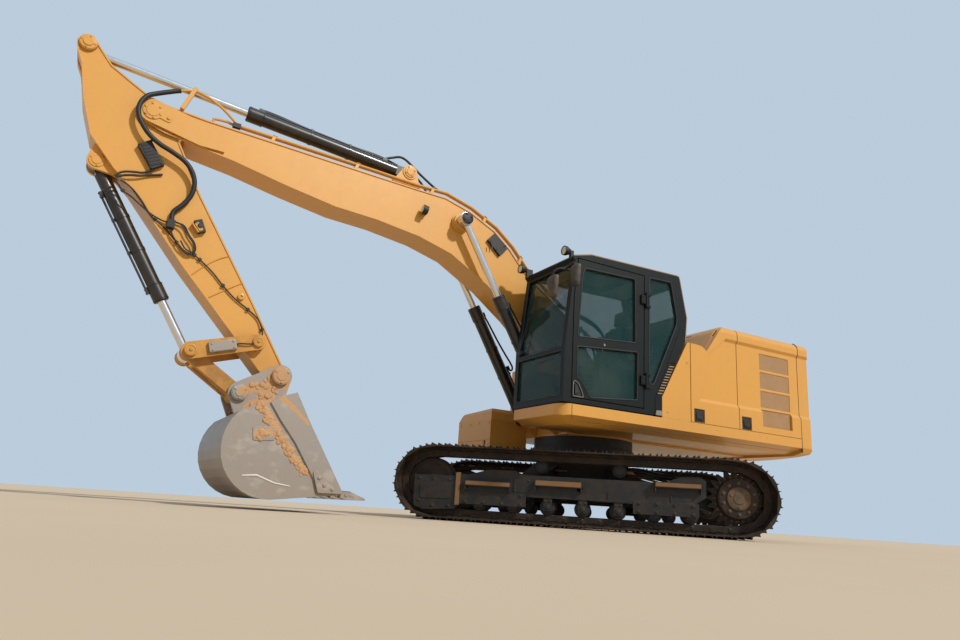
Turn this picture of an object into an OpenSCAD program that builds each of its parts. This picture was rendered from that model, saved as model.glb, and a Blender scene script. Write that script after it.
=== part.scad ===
// Tracked hydraulic excavator of the 22-tonne class. Millimetres.
// +X is the way the boom points, +Y is the cab side, +Z is up, and z = 0 is the ground under the tracks.
// The tracks are turned about the slew axis, as the machine stands. The arm is posed by the pin places below.

/* [Upper structure] */
// Distance from the middle of the whole machine back to the slew axis
slew_back = 1663.5; // [1600:0.5:1780]
// Half the width of the upper structure
upper_half_w = 1370; // [1300:5:1450]
// Radius of the tail about the slew axis
tail_r = 2920; // [2850:10:3000]
// Height of the deck that carries the cab and the engine bay
deck_z = 1250; // [1220:5:1280]
// Height of the underside of the upper structure
belly_z = 1060; // [1050:5:1090]
// Height of the engine bay's roof line
bay_z = 2490; // [2450:10:2530]
// Thickness of the panels and doors of the engine bay
panel_t = 50; // [45:1:60]
// Running gap round every door and lid
door_gap = 10; // [8:1:12]
// Place of the joint between engine bay and counterweight
weight_x = -2375; // [-2410:5:-2330]
// Place of the joint between the two left side doors
door_joint_x = -1272; // [-1310:2:-1220]
// Place of the front edge of the front left side door
bay_front_x = -490; // [-520:5:-470]
// Half the width of the middle frame that carries boom and slew ring
spine_half_w = 440; // [420:5:460]

/* [Cab] */
// Gap between the cab's inner wall and the boom cylinder beside it
cab_gap = 18; // [14:1:30]
// Height of the cab roof
cab_top_z = 2929; // [2870:1:2980]
// Front of the cab at the deck
cab_front_x = 1290; // [1250:5:1330]
// Front edge of the cab's roof
cab_brow_x = 1214; // [1190:2:1230]
// Rear of the cab at the roof
cab_rear_x = -335; // [-360:5:-310]
// Thickness of the cab's walls and its door
cab_wall = 50; // [40:1:60]
// Front edge of the door opening
door_front_x = 1190; // [1170:5:1200]
// Rear edge of the door opening, where the hinges are
door_rear_x = 205; // [180:5:230]
// Thickness of the window glass
glass_t = 8; // [6:1:12]
// Radius of a work lamp
lamp_r = 54; // [46:1:60]

/* [Undercarriage] */
// Angle that the tracks are turned from the boom's direction
track_turn = 37.7; // [0:0.1:90]
// Distance between the sprocket's and the idler's axes
wheel_base = 3270; // [3250:5:3290]
// Distance between the middles of the two tracks
gauge = 2200; // [2150:10:2300]
// Width of a track shoe
shoe_w = 600; // [500:10:700]
// Pitch of the track chain
chain_pitch = 190; // [188:0.5:192]
// Number of shoes on a track
shoe_count = 45; // [45:1:45]
// Height of a grouser on a shoe
grouser_h = 26; // [20:1:32]
// Thickness of a shoe's plate
shoe_t = 12; // [8:1:16]
// Distance from the chain's pin line out to the shoe's plate
link_out = 54; // [48:1:60]
// Distance from the chain's pin line in to the rollers' path
link_in = 38; // [34:1:42]
// Radius of a bottom roller
roller_r = 76; // [70:1:80]
// Number of bottom rollers on a side
roller_count = 7; // [5:1:8]
// Radius of a carrier roller
carrier_r = 62; // [55:1:68]
// Radius of the slew ring
ring_r = 610; // [560:5:650]

/* [Boom] */
// Height of the boom's foot pin
foot_z = 1831; // [1800:1:1860]
// Distance from the slew axis to the boom's foot pin
foot_x = 108; // [80:1:130]
// Length of the boom between its end pins
boom_len = 5700; // [5600:10:5800]
// Angle of the line between the boom's end pins
boom_deg = 19.36; // [15:0.1:22]
// Half the width of the boom's box
boom_half_w = 190; // [180:1:200]
// Distance from the foot pin to the boom cylinders' pin
boom_eye_len = 2500; // [2450:5:2550]
// Angle from the line of the end pins to the boom cylinders' pin
boom_eye_deg = 20.3; // [19:0.1:21]
// Distance of each boom cylinder from the middle plane
boom_cyl_y = 305; // [300:1:310]
// Place of the boom cylinders' foot pin, ahead of the slew axis
boom_cyl_x = 718; // [700:1:740]
// Height of the boom cylinders' foot pin
boom_cyl_z = 1265; // [1240:1:1290]

/* [Stick and bucket] */
// Length of the stick from the boom's tip to the bucket pin
stick_len = 2900; // [2850:10:2950]
// Angle of the stick's line of pins
stick_deg = -123.25; // [-126:0.25:-120]
// Half the width of the stick's box
stick_half_w = 165; // [160:1:168]
// Width of the bucket
bucket_w = 1350; // [1200:10:1400]
// Thickness of the bucket's side plates and shell
bucket_wall = 22; // [18:1:30]
// Number of bucket teeth
tooth_count = 5; // [4:1:6]
// Radius of the pins in the arm
pin_r = 42; // [38:1:46]
// Radial clearance of a pin in its bore
pin_gap = 0.6; // [0.5:0.1:1.5]
// Outer radius of the cylinder barrels
barrel_r = 72; // [68:1:76]
// Radius of the cylinder rods
rod_r = 42; // [36:1:46]

/* [Hidden] */
$fn = 48;

paint = [0.93, 0.62, 0.16];
dark = [0.08, 0.09, 0.09];
steel = [0.20, 0.18, 0.16];
chrome = [0.80, 0.80, 0.80];
cab_black = [0.07, 0.10, 0.10];
tint = [0.20, 0.45, 0.45, 0.5];

cab_y1 = upper_half_w;
cab_y0 = boom_cyl_y + barrel_r + cab_gap;
cab_w = cab_y1 - cab_y0;
link_turn_r = (shoe_count * chain_pitch - 2 * wheel_base) / (2 * PI);
chain_low = grouser_h + shoe_t + link_out;
axle_z = chain_low + link_turn_r;
half_base = wheel_base / 2;

foot = [foot_x, foot_z];
tip = foot + boom_len * [cos(boom_deg), sin(boom_deg)];
boom_eye = foot + boom_eye_len * [cos(boom_deg + boom_eye_deg), sin(boom_deg + boom_eye_deg)];
boom_cyl_foot = [boom_cyl_x, boom_cyl_z];
bucket_pin = tip + stick_len * [cos(stick_deg), sin(stick_deg)];

// Pins carried by the boom in the boom's own axes: along the line of its end pins, and up from it
stick_cyl_foot_at = [3141, 1121];
// Pins carried by the stick in the stick's own axes: along from the boom's tip, and out from the line of pins
stick_eye_at = [-807, 265];
bucket_cyl_foot_at = [300, 656];
idler_pin_at = [stick_len - 397, 68];
link_pin_at = [stick_len - 578, 673];
power_pin_at = [stick_len - 25, 431];

function turned(p, a) = [p[0] * cos(a) - p[1] * sin(a), p[0] * sin(a) + p[1] * cos(a)];
function from_boom(p) = foot + turned(p, boom_deg);
function from_stick(p) = tip + turned(p, stick_deg);
function between(a, b) = atan2(b[1] - a[1], b[0] - a[0]);

stick_cyl_foot = from_boom(stick_cyl_foot_at);
stick_eye = from_stick(stick_eye_at);
bucket_cyl_foot = from_stick(bucket_cyl_foot_at);
idler_pin = from_stick(idler_pin_at);
link_pin = from_stick(link_pin_at);
power_pin = from_stick(power_pin_at);

// Cylinders: barrel length from the foot pin to the gland's face, and rod length from the eye to the piston
boom_barrel_len = 1540;
boom_rod_len = 1690;
stick_barrel_len = 1890;
stick_rod_len = 1850;
bucket_barrel_len = 1450;
bucket_rod_len = 1500;

module at_slew() translate([-slew_back, 0, 0]) children();
module at_tracks() at_slew() rotate([0, 0, -track_turn]) children();
module at_boom() at_slew() translate([foot[0], 0, foot[1]]) rotate([0, -boom_deg, 0]) children();
module at_stick() at_slew() translate([tip[0], 0, tip[1]]) rotate([0, -stick_deg, 0]) children();
module mirror_copy(v) {
    children();
    mirror(v) children();
}

// A side profile, drawn in x and z, given its width from y0 to y1
module slab(y0, y1) translate([0, y1, 0]) rotate([90, 0, 0]) linear_extrude(y1 - y0) children();
// A cylinder across the machine, at p = [x, z]
module cross_pin(r, y0, y1, p) translate([p[0], y1, p[1]]) rotate([90, 0, 0]) cylinder(r=r, h=y1 - y0);
module block(x0, x1, y0, y1, z0, z1) translate([x0, y0, z0]) cube([x1 - x0, y1 - y0, z1 - z0]);
// A box with its upright edges rounded
module soft_block(x0, x1, y0, y1, z0, z1, r)
    translate([0, 0, z0]) linear_extrude(z1 - z0) round_rect(x0, x1, y0, y1, r);
module round_rect(x0, x1, y0, y1, r)
    translate([x0 + r, y0 + r]) offset(r) square([x1 - x0 - 2 * r, y1 - y0 - 2 * r]);
// A plate that joins two discs
module strap(a, ra, b, rb) hull() {
    translate(a) circle(ra, $fn=32);
    translate(b) circle(rb, $fn=32);
}

// A tube along points, with flat sides; side_axis is a direction that the path never runs along
function unit(v) = v / norm(v);
function path_dir(p, i) = unit(p[min(i + 1, len(p) - 1)] - p[max(i - 1, 0)]);
function ring_at(p, i, r, sides, side_axis) =
    let (t = path_dir(p, i), a = unit(cross(t, side_axis)), b = cross(t, a))
    [for (k = [0:sides - 1]) p[i] + r * (cos(360 * k / sides) * a + sin(360 * k / sides) * b)];
module tube(p, r, sides=8, side_axis=[0, 1, 0]) {
    n = len(p);
    rings = [for (i = [0:n - 1]) each ring_at(p, i, r, sides, side_axis)];
    walls = [for (i = [0:n - 2], k = [0:sides - 1])
        let (a = i * sides + k, b = i * sides + (k + 1) % sides)
        each [[a, b + sides, b], [a, a + sides, b + sides]]];
    first = [for (k = [0:sides - 1]) k];
    last = [for (k = [0:sides - 1]) n * sides - 1 - k];
    polyhedron(rings, concat(walls, [first, last]));
}

// Undercarriage

frame_mid_y = gauge / 2;
frame_half_w = 175;
frame_low_z = chain_low + link_in + roller_r + 95;
frame_top_z = 530;
frame_in_y = frame_mid_y - frame_half_w - 0.3;
roller_z = chain_low + link_in + roller_r + 0.5;
carrier_z = axle_z + link_turn_r - link_in - carrier_r - 0.5;
roller_first = -1150;
roller_last = 1080;
carrier_places = [-420, 420];

module carbody() color(steel) at_tracks() difference() {
    union() {
        block(-480, 480, -620, 620, 480, 780);
        translate([0, 0, 780]) cylinder(r=ring_r + 20, h=150);
        intersection() {
            for (end = [-1, 1], side = [-1, 1])
                translate([end * 330, side * 300, 0]) rotate([0, 0, -side * end * 18 + (side > 0 ? 0 : 180)])
                    leg();
            block(-1200, 1200, -frame_in_y, frame_in_y, 0, 900);
        }
    }
    translate([0, 0, 700]) cylinder(r=ring_r - 190, h=400);
    tow_eye_bore();
}
// A leg from the middle box out to a track frame, lower at its outer end
module leg() rotate([90, 0, 90]) translate([0, 0, -150]) linear_extrude(300)
    polygon([[-60, 490], [-60, 770], [120, 770], [740, 520], [740, 330], [600, 330]]);
// The lashing eye's hole in the front and back of the middle box
module tow_eye_bore() translate([-600, 0, 560]) rotate([0, 90, 0]) cylinder(r=45, h=1200);

module track_frame() color(steel) difference() {
    union() {
        slab(frame_mid_y - frame_half_w, frame_mid_y + frame_half_w) polygon([
            [-1305, 400], [-1200, frame_low_z + 30], [-1120, frame_low_z], [1080, frame_low_z],
            [1240, frame_low_z + 30], [1240, 490], [1180, frame_top_z - 20], [1000, frame_top_z + 35],
            [700, frame_top_z + 42], [600, frame_top_z], [-780, frame_top_z], [-900, frame_top_z + 10],
            [-1050, frame_top_z + 70], [-1240, frame_top_z + 80], [-1305, frame_top_z + 35]]);
        // Travel motor and its bracket, on the inner side of the sprocket
        slab(frame_mid_y - frame_half_w, frame_mid_y - 75) hull() {
            translate([-half_base, axle_z]) circle(200);
            translate([-1180, frame_low_z + 40]) square([80, frame_top_z - frame_low_z - 60]);
        }
        cross_pin(150, frame_mid_y - 290, frame_mid_y - 75, [-half_base, axle_z]);
        // Guard box over the outer end of the idler's axle, with its rib, and the yoke on the inner side
        slab(frame_mid_y + 108, frame_mid_y + frame_half_w) polygon([[1140, frame_low_z + 10], [1200, frame_low_z],
            [1300, 178], [1347, 130], [1700, 105], [1800, 140], [1815, 200], [1815, 475], [1347, 485],
            [1300, 505], [1140, 500]]);
        slab(frame_mid_y + 108, frame_mid_y + frame_half_w + 18) polygon([[1296, 175], [1346, 172], [1346, 517],
            [1296, 519]]);
        slab(frame_mid_y - frame_half_w, frame_mid_y - 108)
            polygon([[1100, axle_z - 110], [1100, axle_z + 90], [half_base + 120, axle_z + 80],
                [half_base + 120, axle_z - 80]]);
        for (g = guard_table) block(g[step_t0], g[step_t1], frame_mid_y + frame_half_w - 12,
            frame_mid_y + frame_half_w + g[step_out], g[step_z0], g[step_z1]);
        // Posts of the carrier rollers
        for (t = carrier_places) {
            block(t - 60, t + 60, frame_mid_y - 175, frame_mid_y - 115, frame_top_z - 20, carrier_z + 45);
            cross_pin(30, frame_mid_y - 175, frame_mid_y + 100, [t, carrier_z]);
        }
        roller_axles();
    }
    // Jacking hole in the outer face
    cross_pin(30, frame_mid_y + 60, frame_mid_y + 200, [0, (frame_low_z + frame_top_z) / 2]);
}
// Axles of the bottom rollers with their end blocks
module roller_axles() for (i = [0:roller_count - 1]) {
    t = roller_first + i * (roller_last - roller_first) / (roller_count - 1);
    cross_pin(28, frame_mid_y - 160, frame_mid_y + 160, [t, roller_z]);
    mirror_about(frame_mid_y) block(t - 45, t + 45, frame_mid_y + 130, frame_mid_y + 165, roller_z - 40,
        frame_low_z + 5);
}
// Roller guards and steps on a track frame's outer side: from, to, how far out, lower and upper height
guard_table = [[570, 1296, 4, 190, 330], [-1230, -560, 4, 195, 330], [737, 1240, 62, 385, 440],
    [-25, 480, 62, 420, 485], [-1257, -778, 62, 480, 535]];
step_t0 = 0;
step_t1 = 1;
step_out = 2;
step_z0 = 3;
step_z1 = 4;
module mirror_about(y) {
    children();
    translate([0, 2 * y, 0]) mirror([0, 1, 0]) children();
}
module track_frame_left() at_tracks() track_frame();
module track_frame_right() at_tracks() mirror([0, 1, 0]) track_frame();

// Place along the chain's loop, starting at the top over the sprocket and running forward
loop_len = shoe_count * chain_pitch;
arc_len = PI * link_turn_r;
function loop_point(s) =
    s < wheel_base ? [-half_base + s, axle_z + link_turn_r] :
    s < wheel_base + arc_len ? let (a = 90 - (s - wheel_base) / link_turn_r * 180 / PI)
        [half_base + link_turn_r * cos(a), axle_z + link_turn_r * sin(a)] :
    s < 2 * wheel_base + arc_len ? [half_base - (s - wheel_base - arc_len), axle_z - link_turn_r] :
    let (a = -90 - (s - 2 * wheel_base - arc_len) / link_turn_r * 180 / PI)
        [-half_base + link_turn_r * cos(a), axle_z + link_turn_r * sin(a)];
loop_start = 45;
function joint_at(i) = loop_point((loop_start + i * chain_pitch) % loop_len);
// A point on link i: along it from its middle, and out from its pin line
function on_link(i, along, out) =
    let (a = joint_at(i), b = joint_at(i + 1), t = unit(b - a), n = [-t[1], t[0]])
    (a + b) / 2 + along * t + out * n;
// One shoe's outer line: along, and height in grousers above the plate
shoe_line = [[-0.47, 0], [-0.40, 0], [-0.36, 1], [-0.31, 0], [-0.02, 0], [0.02, 1], [0.07, 0], [0.36, 0],
    [0.41, 1], [0.46, 0]];
module track_belt() color(steel) {
    plate_out = link_out + shoe_t;
    union() {
        slab(frame_mid_y - shoe_w / 2, frame_mid_y + shoe_w / 2) difference() {
            polygon([for (i = [0:shoe_count - 1], q = shoe_line)
                on_link(i, q[0] * chain_pitch, plate_out + q[1] * grouser_h)]);
            polygon([for (i = [0:shoe_count - 1]) on_link(i, 0, link_out)]);
        }
        for (y = [frame_mid_y - 95, frame_mid_y + 60])
            slab(y, y + 35) difference() {
                polygon([for (i = [0:shoe_count - 1]) on_link(i, 0, link_out + 4)]);
                polygon([for (i = [0:shoe_count - 1]) on_link(i, 0, -link_in)]);
            }
    }
}
module track_left() at_tracks() track_belt();
module track_right() at_tracks() mirror([0, 1, 0]) track_belt();

sprocket_teeth = 21;
sprocket_root = 255;
sprocket_tip = 318;
module sprocket() color(steel) difference() {
    union() {
        slab(frame_mid_y - 24, frame_mid_y + 24) union() {
            circle_at(sprocket_root);
            for (k = [0:sprocket_teeth - 1]) translate([-half_base, axle_z]) rotate(k * 360 / sprocket_teeth)
                polygon([[sprocket_root - 10, -34], [sprocket_tip - 12, -12], [sprocket_tip, 0],
                    [sprocket_tip - 12, 12], [sprocket_root - 10, 34]]);
        }
        cross_pin(170, frame_mid_y - 74.7, frame_mid_y + 60, [-half_base, axle_z]);
        cross_pin(205, frame_mid_y + 20, frame_mid_y + 110, [-half_base, axle_z]);
        cross_pin(196, frame_mid_y + 108, frame_mid_y + 150, [-half_base, axle_z]);
    }
    // The hub's plug
    cross_pin(24, frame_mid_y + 140, frame_mid_y + 160, [-half_base, axle_z]);
}
module circle_at(r) translate([-half_base, axle_z]) circle(r);
module sprockets() at_tracks() mirror_copy([0, 1, 0]) sprocket();

idler_r = 250;
module idlers() at_tracks() mirror_copy([0, 1, 0]) color(steel) {
    cross_pin(idler_r, frame_mid_y - 95, frame_mid_y + 95, [half_base, axle_z]);
    cross_pin(idler_r + 18, frame_mid_y - 45, frame_mid_y + 45, [half_base, axle_z]);
    cross_pin(55, frame_mid_y - 107.7, frame_mid_y + 107.7, [half_base, axle_z]);
}

module roller(r, y_half, t, z, axle) difference() {
    union() {
        cross_pin(r, frame_mid_y - y_half, frame_mid_y + y_half, [t, z]);
        mirror_about(frame_mid_y) cross_pin(r + 14, frame_mid_y - 55, frame_mid_y - 20, [t, z]);
    }
    cross_pin(axle + 0.5, frame_mid_y - y_half - 1, frame_mid_y + y_half + 1, [t, z]);
}
module bottom_rollers() at_tracks() mirror_copy([0, 1, 0]) color(dark) for (i = [0:roller_count - 1])
    roller(roller_r, 125, roller_first + i * (roller_last - roller_first) / (roller_count - 1), roller_z, 28);
module carrier_rollers() at_tracks() mirror_copy([0, 1, 0]) color(dark) for (t = carrier_places)
    roller(carrier_r, 105, t, carrier_z, 30);

module slew_ring() color(steel) at_slew() difference() {
    translate([0, 0, 930.3]) cylinder(r=ring_r, h=belly_z - 930.3 - 6.5);
    translate([0, 0, 900]) cylinder(r=ring_r - 120, h=300);
}

// Upper structure

tower_in = boom_half_w + 14;
tower_out = tower_in + 42;
module main_frame() color(paint) at_slew() {
    difference() {
        union() {
            block(weight_x, 560, -spine_half_w, spine_half_w, belly_z, deck_z - 40);
            translate([0, 0, belly_z - 6]) cylinder(r=ring_r - 10, h=23);
            for (side = [0, 1]) mirror([0, side, 0]) slab(tower_in, tower_out) {
                hull() {
                    translate(foot) circle(130, $fn=32);
                    translate([-420, deck_z - 60]) square([980, 20]);
                }
                hull() {
                    translate(boom_cyl_foot) circle(95, $fn=32);
                    translate([300, belly_z]) square([260, deck_z - belly_z]);
                }
            }
            cross_pin(pin_r + 6, -tower_out - 12, tower_out + 12, foot);
            cross_pin(pin_r, -boom_cyl_y - 62, boom_cyl_y + 62, boom_cyl_foot);
        }
        translate([0, 0, belly_z - 20]) cylinder(r=230, h=300);
    }
}

// The skirt's section: a band with its lower outer part sloped in
skirt_slope = 230;
module skirt_section(side_w) polygon([[spine_half_w + 0.3, belly_z + 20], [side_w - skirt_slope, belly_z + 10],
    [side_w, belly_z + 75], [side_w, deck_z], [spine_half_w + 0.3, deck_z]]);
module platform(x0, x1) translate([x0, 0, 0]) rotate([90, 0, 90]) linear_extrude(x1 - x0)
    skirt_section(upper_half_w);
left_front_x = cab_front_x + 10;
module left_platform() color(paint) at_slew() difference() {
    intersection() {
        platform(weight_x, left_front_x);
        slab(0, 2000) polygon([[weight_x, belly_z - 10], [left_front_x - skirt_slope - 200, belly_z - 10],
            [left_front_x - skirt_slope, belly_z + 10], [left_front_x, belly_z + 75], [left_front_x, deck_z],
            [weight_x, deck_z]]);
    }
    front_corner(left_front_x, corner_r);
}
// Rounds off the front outer corner of a platform
corner_r = 150;
module front_corner(x, r) translate([x - r, upper_half_w - r, 800]) difference() {
    cube([r + 50, r + 50, 600]);
    translate([0, 0, -1]) cylinder(r=r, h=602);
}
right_front_x = 1090;
box_low_z = belly_z - 150;
module right_platform() color(paint) at_slew() mirror([0, 1, 0]) difference() {
    union() {
        platform(weight_x, 560);
        block(559, right_front_x, spine_half_w + 12, upper_half_w - 8, box_low_z, deck_z);
    }
    front_corner(right_front_x, 60);
    // Seam between the box and its lower cover, and the cover's hole
    block(right_front_x - 4, right_front_x + 10, 0, 2000, belly_z - 70, belly_z - 64);
    translate([right_front_x - 60, 590, belly_z - 100]) rotate([0, 90, 0]) cylinder(r=30, h=100);
}

// Plan of the tail: the circle of the tail cut to the machine's width, with its corners rounded
module tail_plan(inset=0) offset(90, $fn=24) offset(-90 - inset) intersection() {
    circle(tail_r, $fn=96);
    translate([-3200, -upper_half_w]) square([3400, 2 * upper_half_w]);
}
// Half section of the body above the skirt, out to half width w: the recessed field between its two bands
recess_z0 = deck_z + 255;
recess_z1 = bay_z - 160;
recess_d = 25;
shoulder_r = 100;
function shoulder(w, last) = [for (k = [0:8]) let (a = k * last / 8)
    [w - shoulder_r + shoulder_r * cos(a), bay_z - shoulder_r + shoulder_r * sin(a)]];
function weight_half(w) = concat([[w - 150, belly_z - 15], [w - 40, belly_z + 15], [w, belly_z + 80], [w, recess_z0],
    [w - recess_d, recess_z0 + 40], [w - recess_d, recess_z1 - 34], [w, recess_z1]], shoulder(w, 90));
weight_side = weight_half(upper_half_w);
module counterweight() color(paint) at_slew() difference() {
    intersection() {
        weight_zone();
        rotate_extrude() polygon(concat([[1500, belly_z - 15]], weight_half(tail_r), [[1500, bay_z]]));
        translate([0, 0, 500]) linear_extrude(2500) tail_plan();
        translate([-3200, 0, 0]) rotate([90, 0, 90]) linear_extrude(3200) polygon(concat(weight_side,
            [for (k = [len(weight_side) - 1:-1:0]) [-weight_side[k][0], weight_side[k][1]]]));
    }
    for (y = [-620, 620]) translate([weight_x - 260, y, bay_z - lift_eye_depth])
        cylinder(r=lift_eye_r, h=lift_eye_depth + 40);
}
lift_eye_r = 40;
lift_eye_depth = 149;
module weight_zone() translate([-3200, -2000, 0]) cube([3200 + weight_x - 0.3, 4000, 4000]);

// Side line of the engine bay's roof over the left doors: x and z, from the cab back
bay_line = [[bay_front_x, 2178], [-573, 2180], [-674, 2171], [-752, 2125], [-812, 2203], [-884, 2301],
    [-957, 2401], [-1015, 2455], [-1075, bay_z], [weight_x, bay_z]];
bay_inner_y = upper_half_w - panel_t - 4;
crest_in_y = upper_half_w - 80;
module bay_side() polygon(concat([[weight_x, deck_z], [bay_front_x, deck_z]], bay_line));
right_door_x1 = -950;
tank_in_y = 520;
module engine_bay() color(paint) at_slew() {
    // Fixed panel behind the cab's slanted pillar
    slab(upper_half_w - panel_t, upper_half_w) polygon([[bay_front_x + 6, deck_z], [-55, deck_z], [-55, 1480],
        [-440, 2166], [bay_front_x + 6, 2178]]);
    block(bay_front_x + 8, bay_front_x + 30, bay_inner_y - 40, bay_inner_y + 5, deck_z, 2100);
    block(bay_front_x - 40, bay_front_x + 30, bay_inner_y - 40, bay_inner_y - 5, deck_z, 2100);
    // Roof with the opening for the hood, cut off where the oil tank stands
    difference() {
        slab(-upper_half_w, upper_half_w) difference() {
            bay_side();
            offset(delta=-40) bay_side();
            translate([weight_x, deck_z - 1]) square([2200, 815]);
        }
        hood_cut();
        for (s = [-1, 1]) door_cut(s);
        for (s = [0, 1]) mirror([0, s, 0]) block(-3000, 0, crest_in_y - 10, 2000, bay_z - 150, 3000);
        block(right_door_x1, 0, -2000, -tank_in_y + 8, 0, 4000);
    }
    // Bulkheads behind the cab and behind the oil tank
    block(bay_front_x - 40, bay_front_x, -tank_in_y + 8, bay_inner_y - 5, deck_z, 2140);
    block(right_door_x1 - 40, right_door_x1, -bay_inner_y + 5, -tank_in_y + 8, deck_z, 2300);
    // Posts between the doors, and at the counterweight
    post(door_joint_x - 40, door_joint_x + 40);
    for (s = [0, 1]) mirror([0, s, 0]) post(weight_x + 2, weight_x + 60);
    // Fixed halves of the hood's hinges
    for (y = hood_hinge_places, k = [-1, 1]) {
        y0 = y + k * 80.5 - 20;
        cross_pin(hood_hinge_r, y0, y0 + 40, [hood_x0 - hood_hinge_back, bay_z + hood_hinge_up]);
        block(hood_x0 - 50, hood_x0 - hood_hinge_back, y0, y0 + 40, bay_z - 1, bay_z + hood_hinge_up);
    }
}
module post(x0, x1) {
    block(x0, x1, crest_in_y - 90, crest_in_y - 11, deck_z, bay_z - 35);
    block(x0, x1, crest_in_y - 20, bay_inner_y - 5, deck_z, bay_z - 95);
}
hood_x0 = -2240;
hood_x1 = -1180;
hood_half_w = 760;
hood_hinge_r = 12;
hood_hinge_back = 20;
hood_hinge_up = 14;
hood_hinge_places = [-480, 480];
module hood_cut() translate([hood_x0 - 8, -hood_half_w - 8, bay_z - 60])
    cube([hood_x1 - hood_x0 + 16, 2 * hood_half_w + 16, 100]);
module door_cut(side) mirror([0, side > 0 ? 0 : 1, 0]) translate([-3000, upper_half_w - panel_t - 5, 0])
    cube([3000, 200, 4000]);
module hood() color(paint) at_slew() {
    soft_block(hood_x0, hood_x1, -hood_half_w, hood_half_w, bay_z - 35, bay_z + 35, 40);
    for (y = hood_hinge_places) {
        cross_pin(hood_hinge_r, y - 60, y + 60, [hood_x0 - hood_hinge_back, bay_z + hood_hinge_up]);
        block(hood_x0 - hood_hinge_back, hood_x0 + 4, y - 60, y + 60, bay_z + hood_hinge_up - 6,
            bay_z + hood_hinge_up + 6);
    }
}

// A door panel of the engine bay, from its front edge to its rear edge, with its part of the shoulder
shell = concat([[upper_half_w, deck_z]], shoulder(upper_half_w, 78.5), [[crest_in_y, bay_z - 45],
    [upper_half_w - panel_t, bay_z - 80], [upper_half_w - panel_t, deck_z]]);
module bay_panel(x0, x1, field) difference() {
    intersection() {
        translate([x0 + door_gap / 2, 0, 0]) rotate([90, 0, 90]) linear_extrude(x1 - x0 - door_gap) polygon(shell);
        slab(0, 2000) offset(delta=-door_gap / 2) bay_side();
    }
    intersection() {
        slab(upper_half_w - recess_d, upper_half_w + 50) polygon(field);
        translate([-3000, 0, 0]) rotate([90, 0, 90]) linear_extrude(3000) polygon([
            [upper_half_w - recess_d, recess_z0 + 40], [upper_half_w - recess_d, recess_z1 - 34],
            [upper_half_w + 1, recess_z1 + 1], [upper_half_w + 60, recess_z1 + 1],
            [upper_half_w + 60, recess_z0 - 2], [upper_half_w + 1, recess_z0 - 2]]);
    }
}
left_field = [[-3000, 1480], [-600, 1480], [-640, 1545], [-690, 1620], [-790, 2096], [-1048, 2300], [-1090, 2340],
    [-3000, 2340]];
right_field = [[-3000, 1480], [-1030, 1480], [-1030, 2270], [-1100, 2340], [-3000, 2340]];
// Hinge pads inside a door's rear edge, seated on the post behind it
hinge_out = 14;
module hinge_pads(x) for (z = [deck_z + 160, bay_z - 505])
    block(x + door_gap / 2, x + 36, bay_inner_y - 4.7, bay_inner_y + 5, z - 60, z + 60);
grille_x0 = -2205;
grille_x1 = -1675;
grille_z0 = 1334;
grille_z1 = 2244;
grille_rows = 4;
pane_gap = 28;
module grille_panes() {
    pane_h = (grille_z1 - grille_z0 - (grille_rows - 1) * pane_gap) / grille_rows;
    for (k = [0:grille_rows - 1])
        translate([grille_x0, grille_z0 + k * (pane_h + pane_gap)]) square([grille_x1 - grille_x0, pane_h]);
}
module latch_pocket(x) translate([x, upper_half_w, 1337]) cube([165, 40, 155], center=true);
module bay_door_front() color(paint) at_slew() difference() {
    union() {
        bay_panel(door_joint_x, bay_front_x, left_field);
        hinge_pads(door_joint_x);
    }
    latch_pocket(bay_front_x - 132);
}
module bay_door_rear() color(paint) at_slew() difference() {
    union() {
        bay_panel(weight_x, door_joint_x, left_field);
        hinge_pads(weight_x);
    }
    latch_pocket(door_joint_x - 122);
    slab(upper_half_w - recess_d - 12, upper_half_w + 10) grille_panes();
}
module bay_door_right() color(paint) at_slew() mirror([0, 1, 0]) difference() {
    union() {
        bay_panel(weight_x, right_door_x1, right_field);
        hinge_pads(weight_x);
    }
    latch_pocket(right_door_x1 - 132);
}
module engine_block() color(steel) at_slew() block(-2060, -1400, -430, 430, deck_z - 40, 2080);
module cooling_pack() color(dark) at_slew() block(-2240, -1560, 890, 1190, deck_z, 2330);
module exhaust_pipe() color(steel) at_slew() difference() {
    translate([-1500, -900, bay_z]) cylinder(r=62, h=260);
    translate([-1500, -900, bay_z + 60]) cylinder(r=54, h=300);
}

tank_y = upper_half_w - 10;
module step_box() color(paint) at_slew() mirror([0, 1, 0])
    intersection() {
        translate([310, 0, 0]) rotate([90, 0, 90]) linear_extrude(right_front_x - 320) polygon([
            [spine_half_w + 20, deck_z], [spine_half_w + 50, 1350], [spine_half_w + 75, 1392],
            [tank_y - 120, 1370], [tank_y - 75, 1340], [tank_y, deck_z]]);
        slab(0, 2000) polygon([[310, deck_z], [right_front_x - 10, deck_z], [right_front_x - 25, 1350],
            [right_front_x - 50, 1400], [310, 1400]]);
    }
module fuel_tank() color(paint) at_slew() mirror([0, 1, 0])
    soft_block(-230, 300, tank_in_y, tank_y, deck_z, 2080, 60);
module oil_tank() color(paint) at_slew() mirror([0, 1, 0])
    soft_block(right_door_x1 + 10, -238, tank_in_y, tank_y, deck_z, 2180, 60);

rail_r = 17;
module handrails() color(dark) at_slew() {
    tube([[250, -1290, 2080], [250, -1290, 2600], [200, -1290, 2680], [-120, -1290, 2680], [-170, -1290, 2600],
        [-170, -1290, 2080]], rail_r);
    tube([[250, -560, 2080], [250, -560, 2400], [230, -560, 2450], [-150, -560, 2450], [-170, -560, 2400],
        [-170, -560, 2080]], rail_r);
}

// Cab

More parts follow.
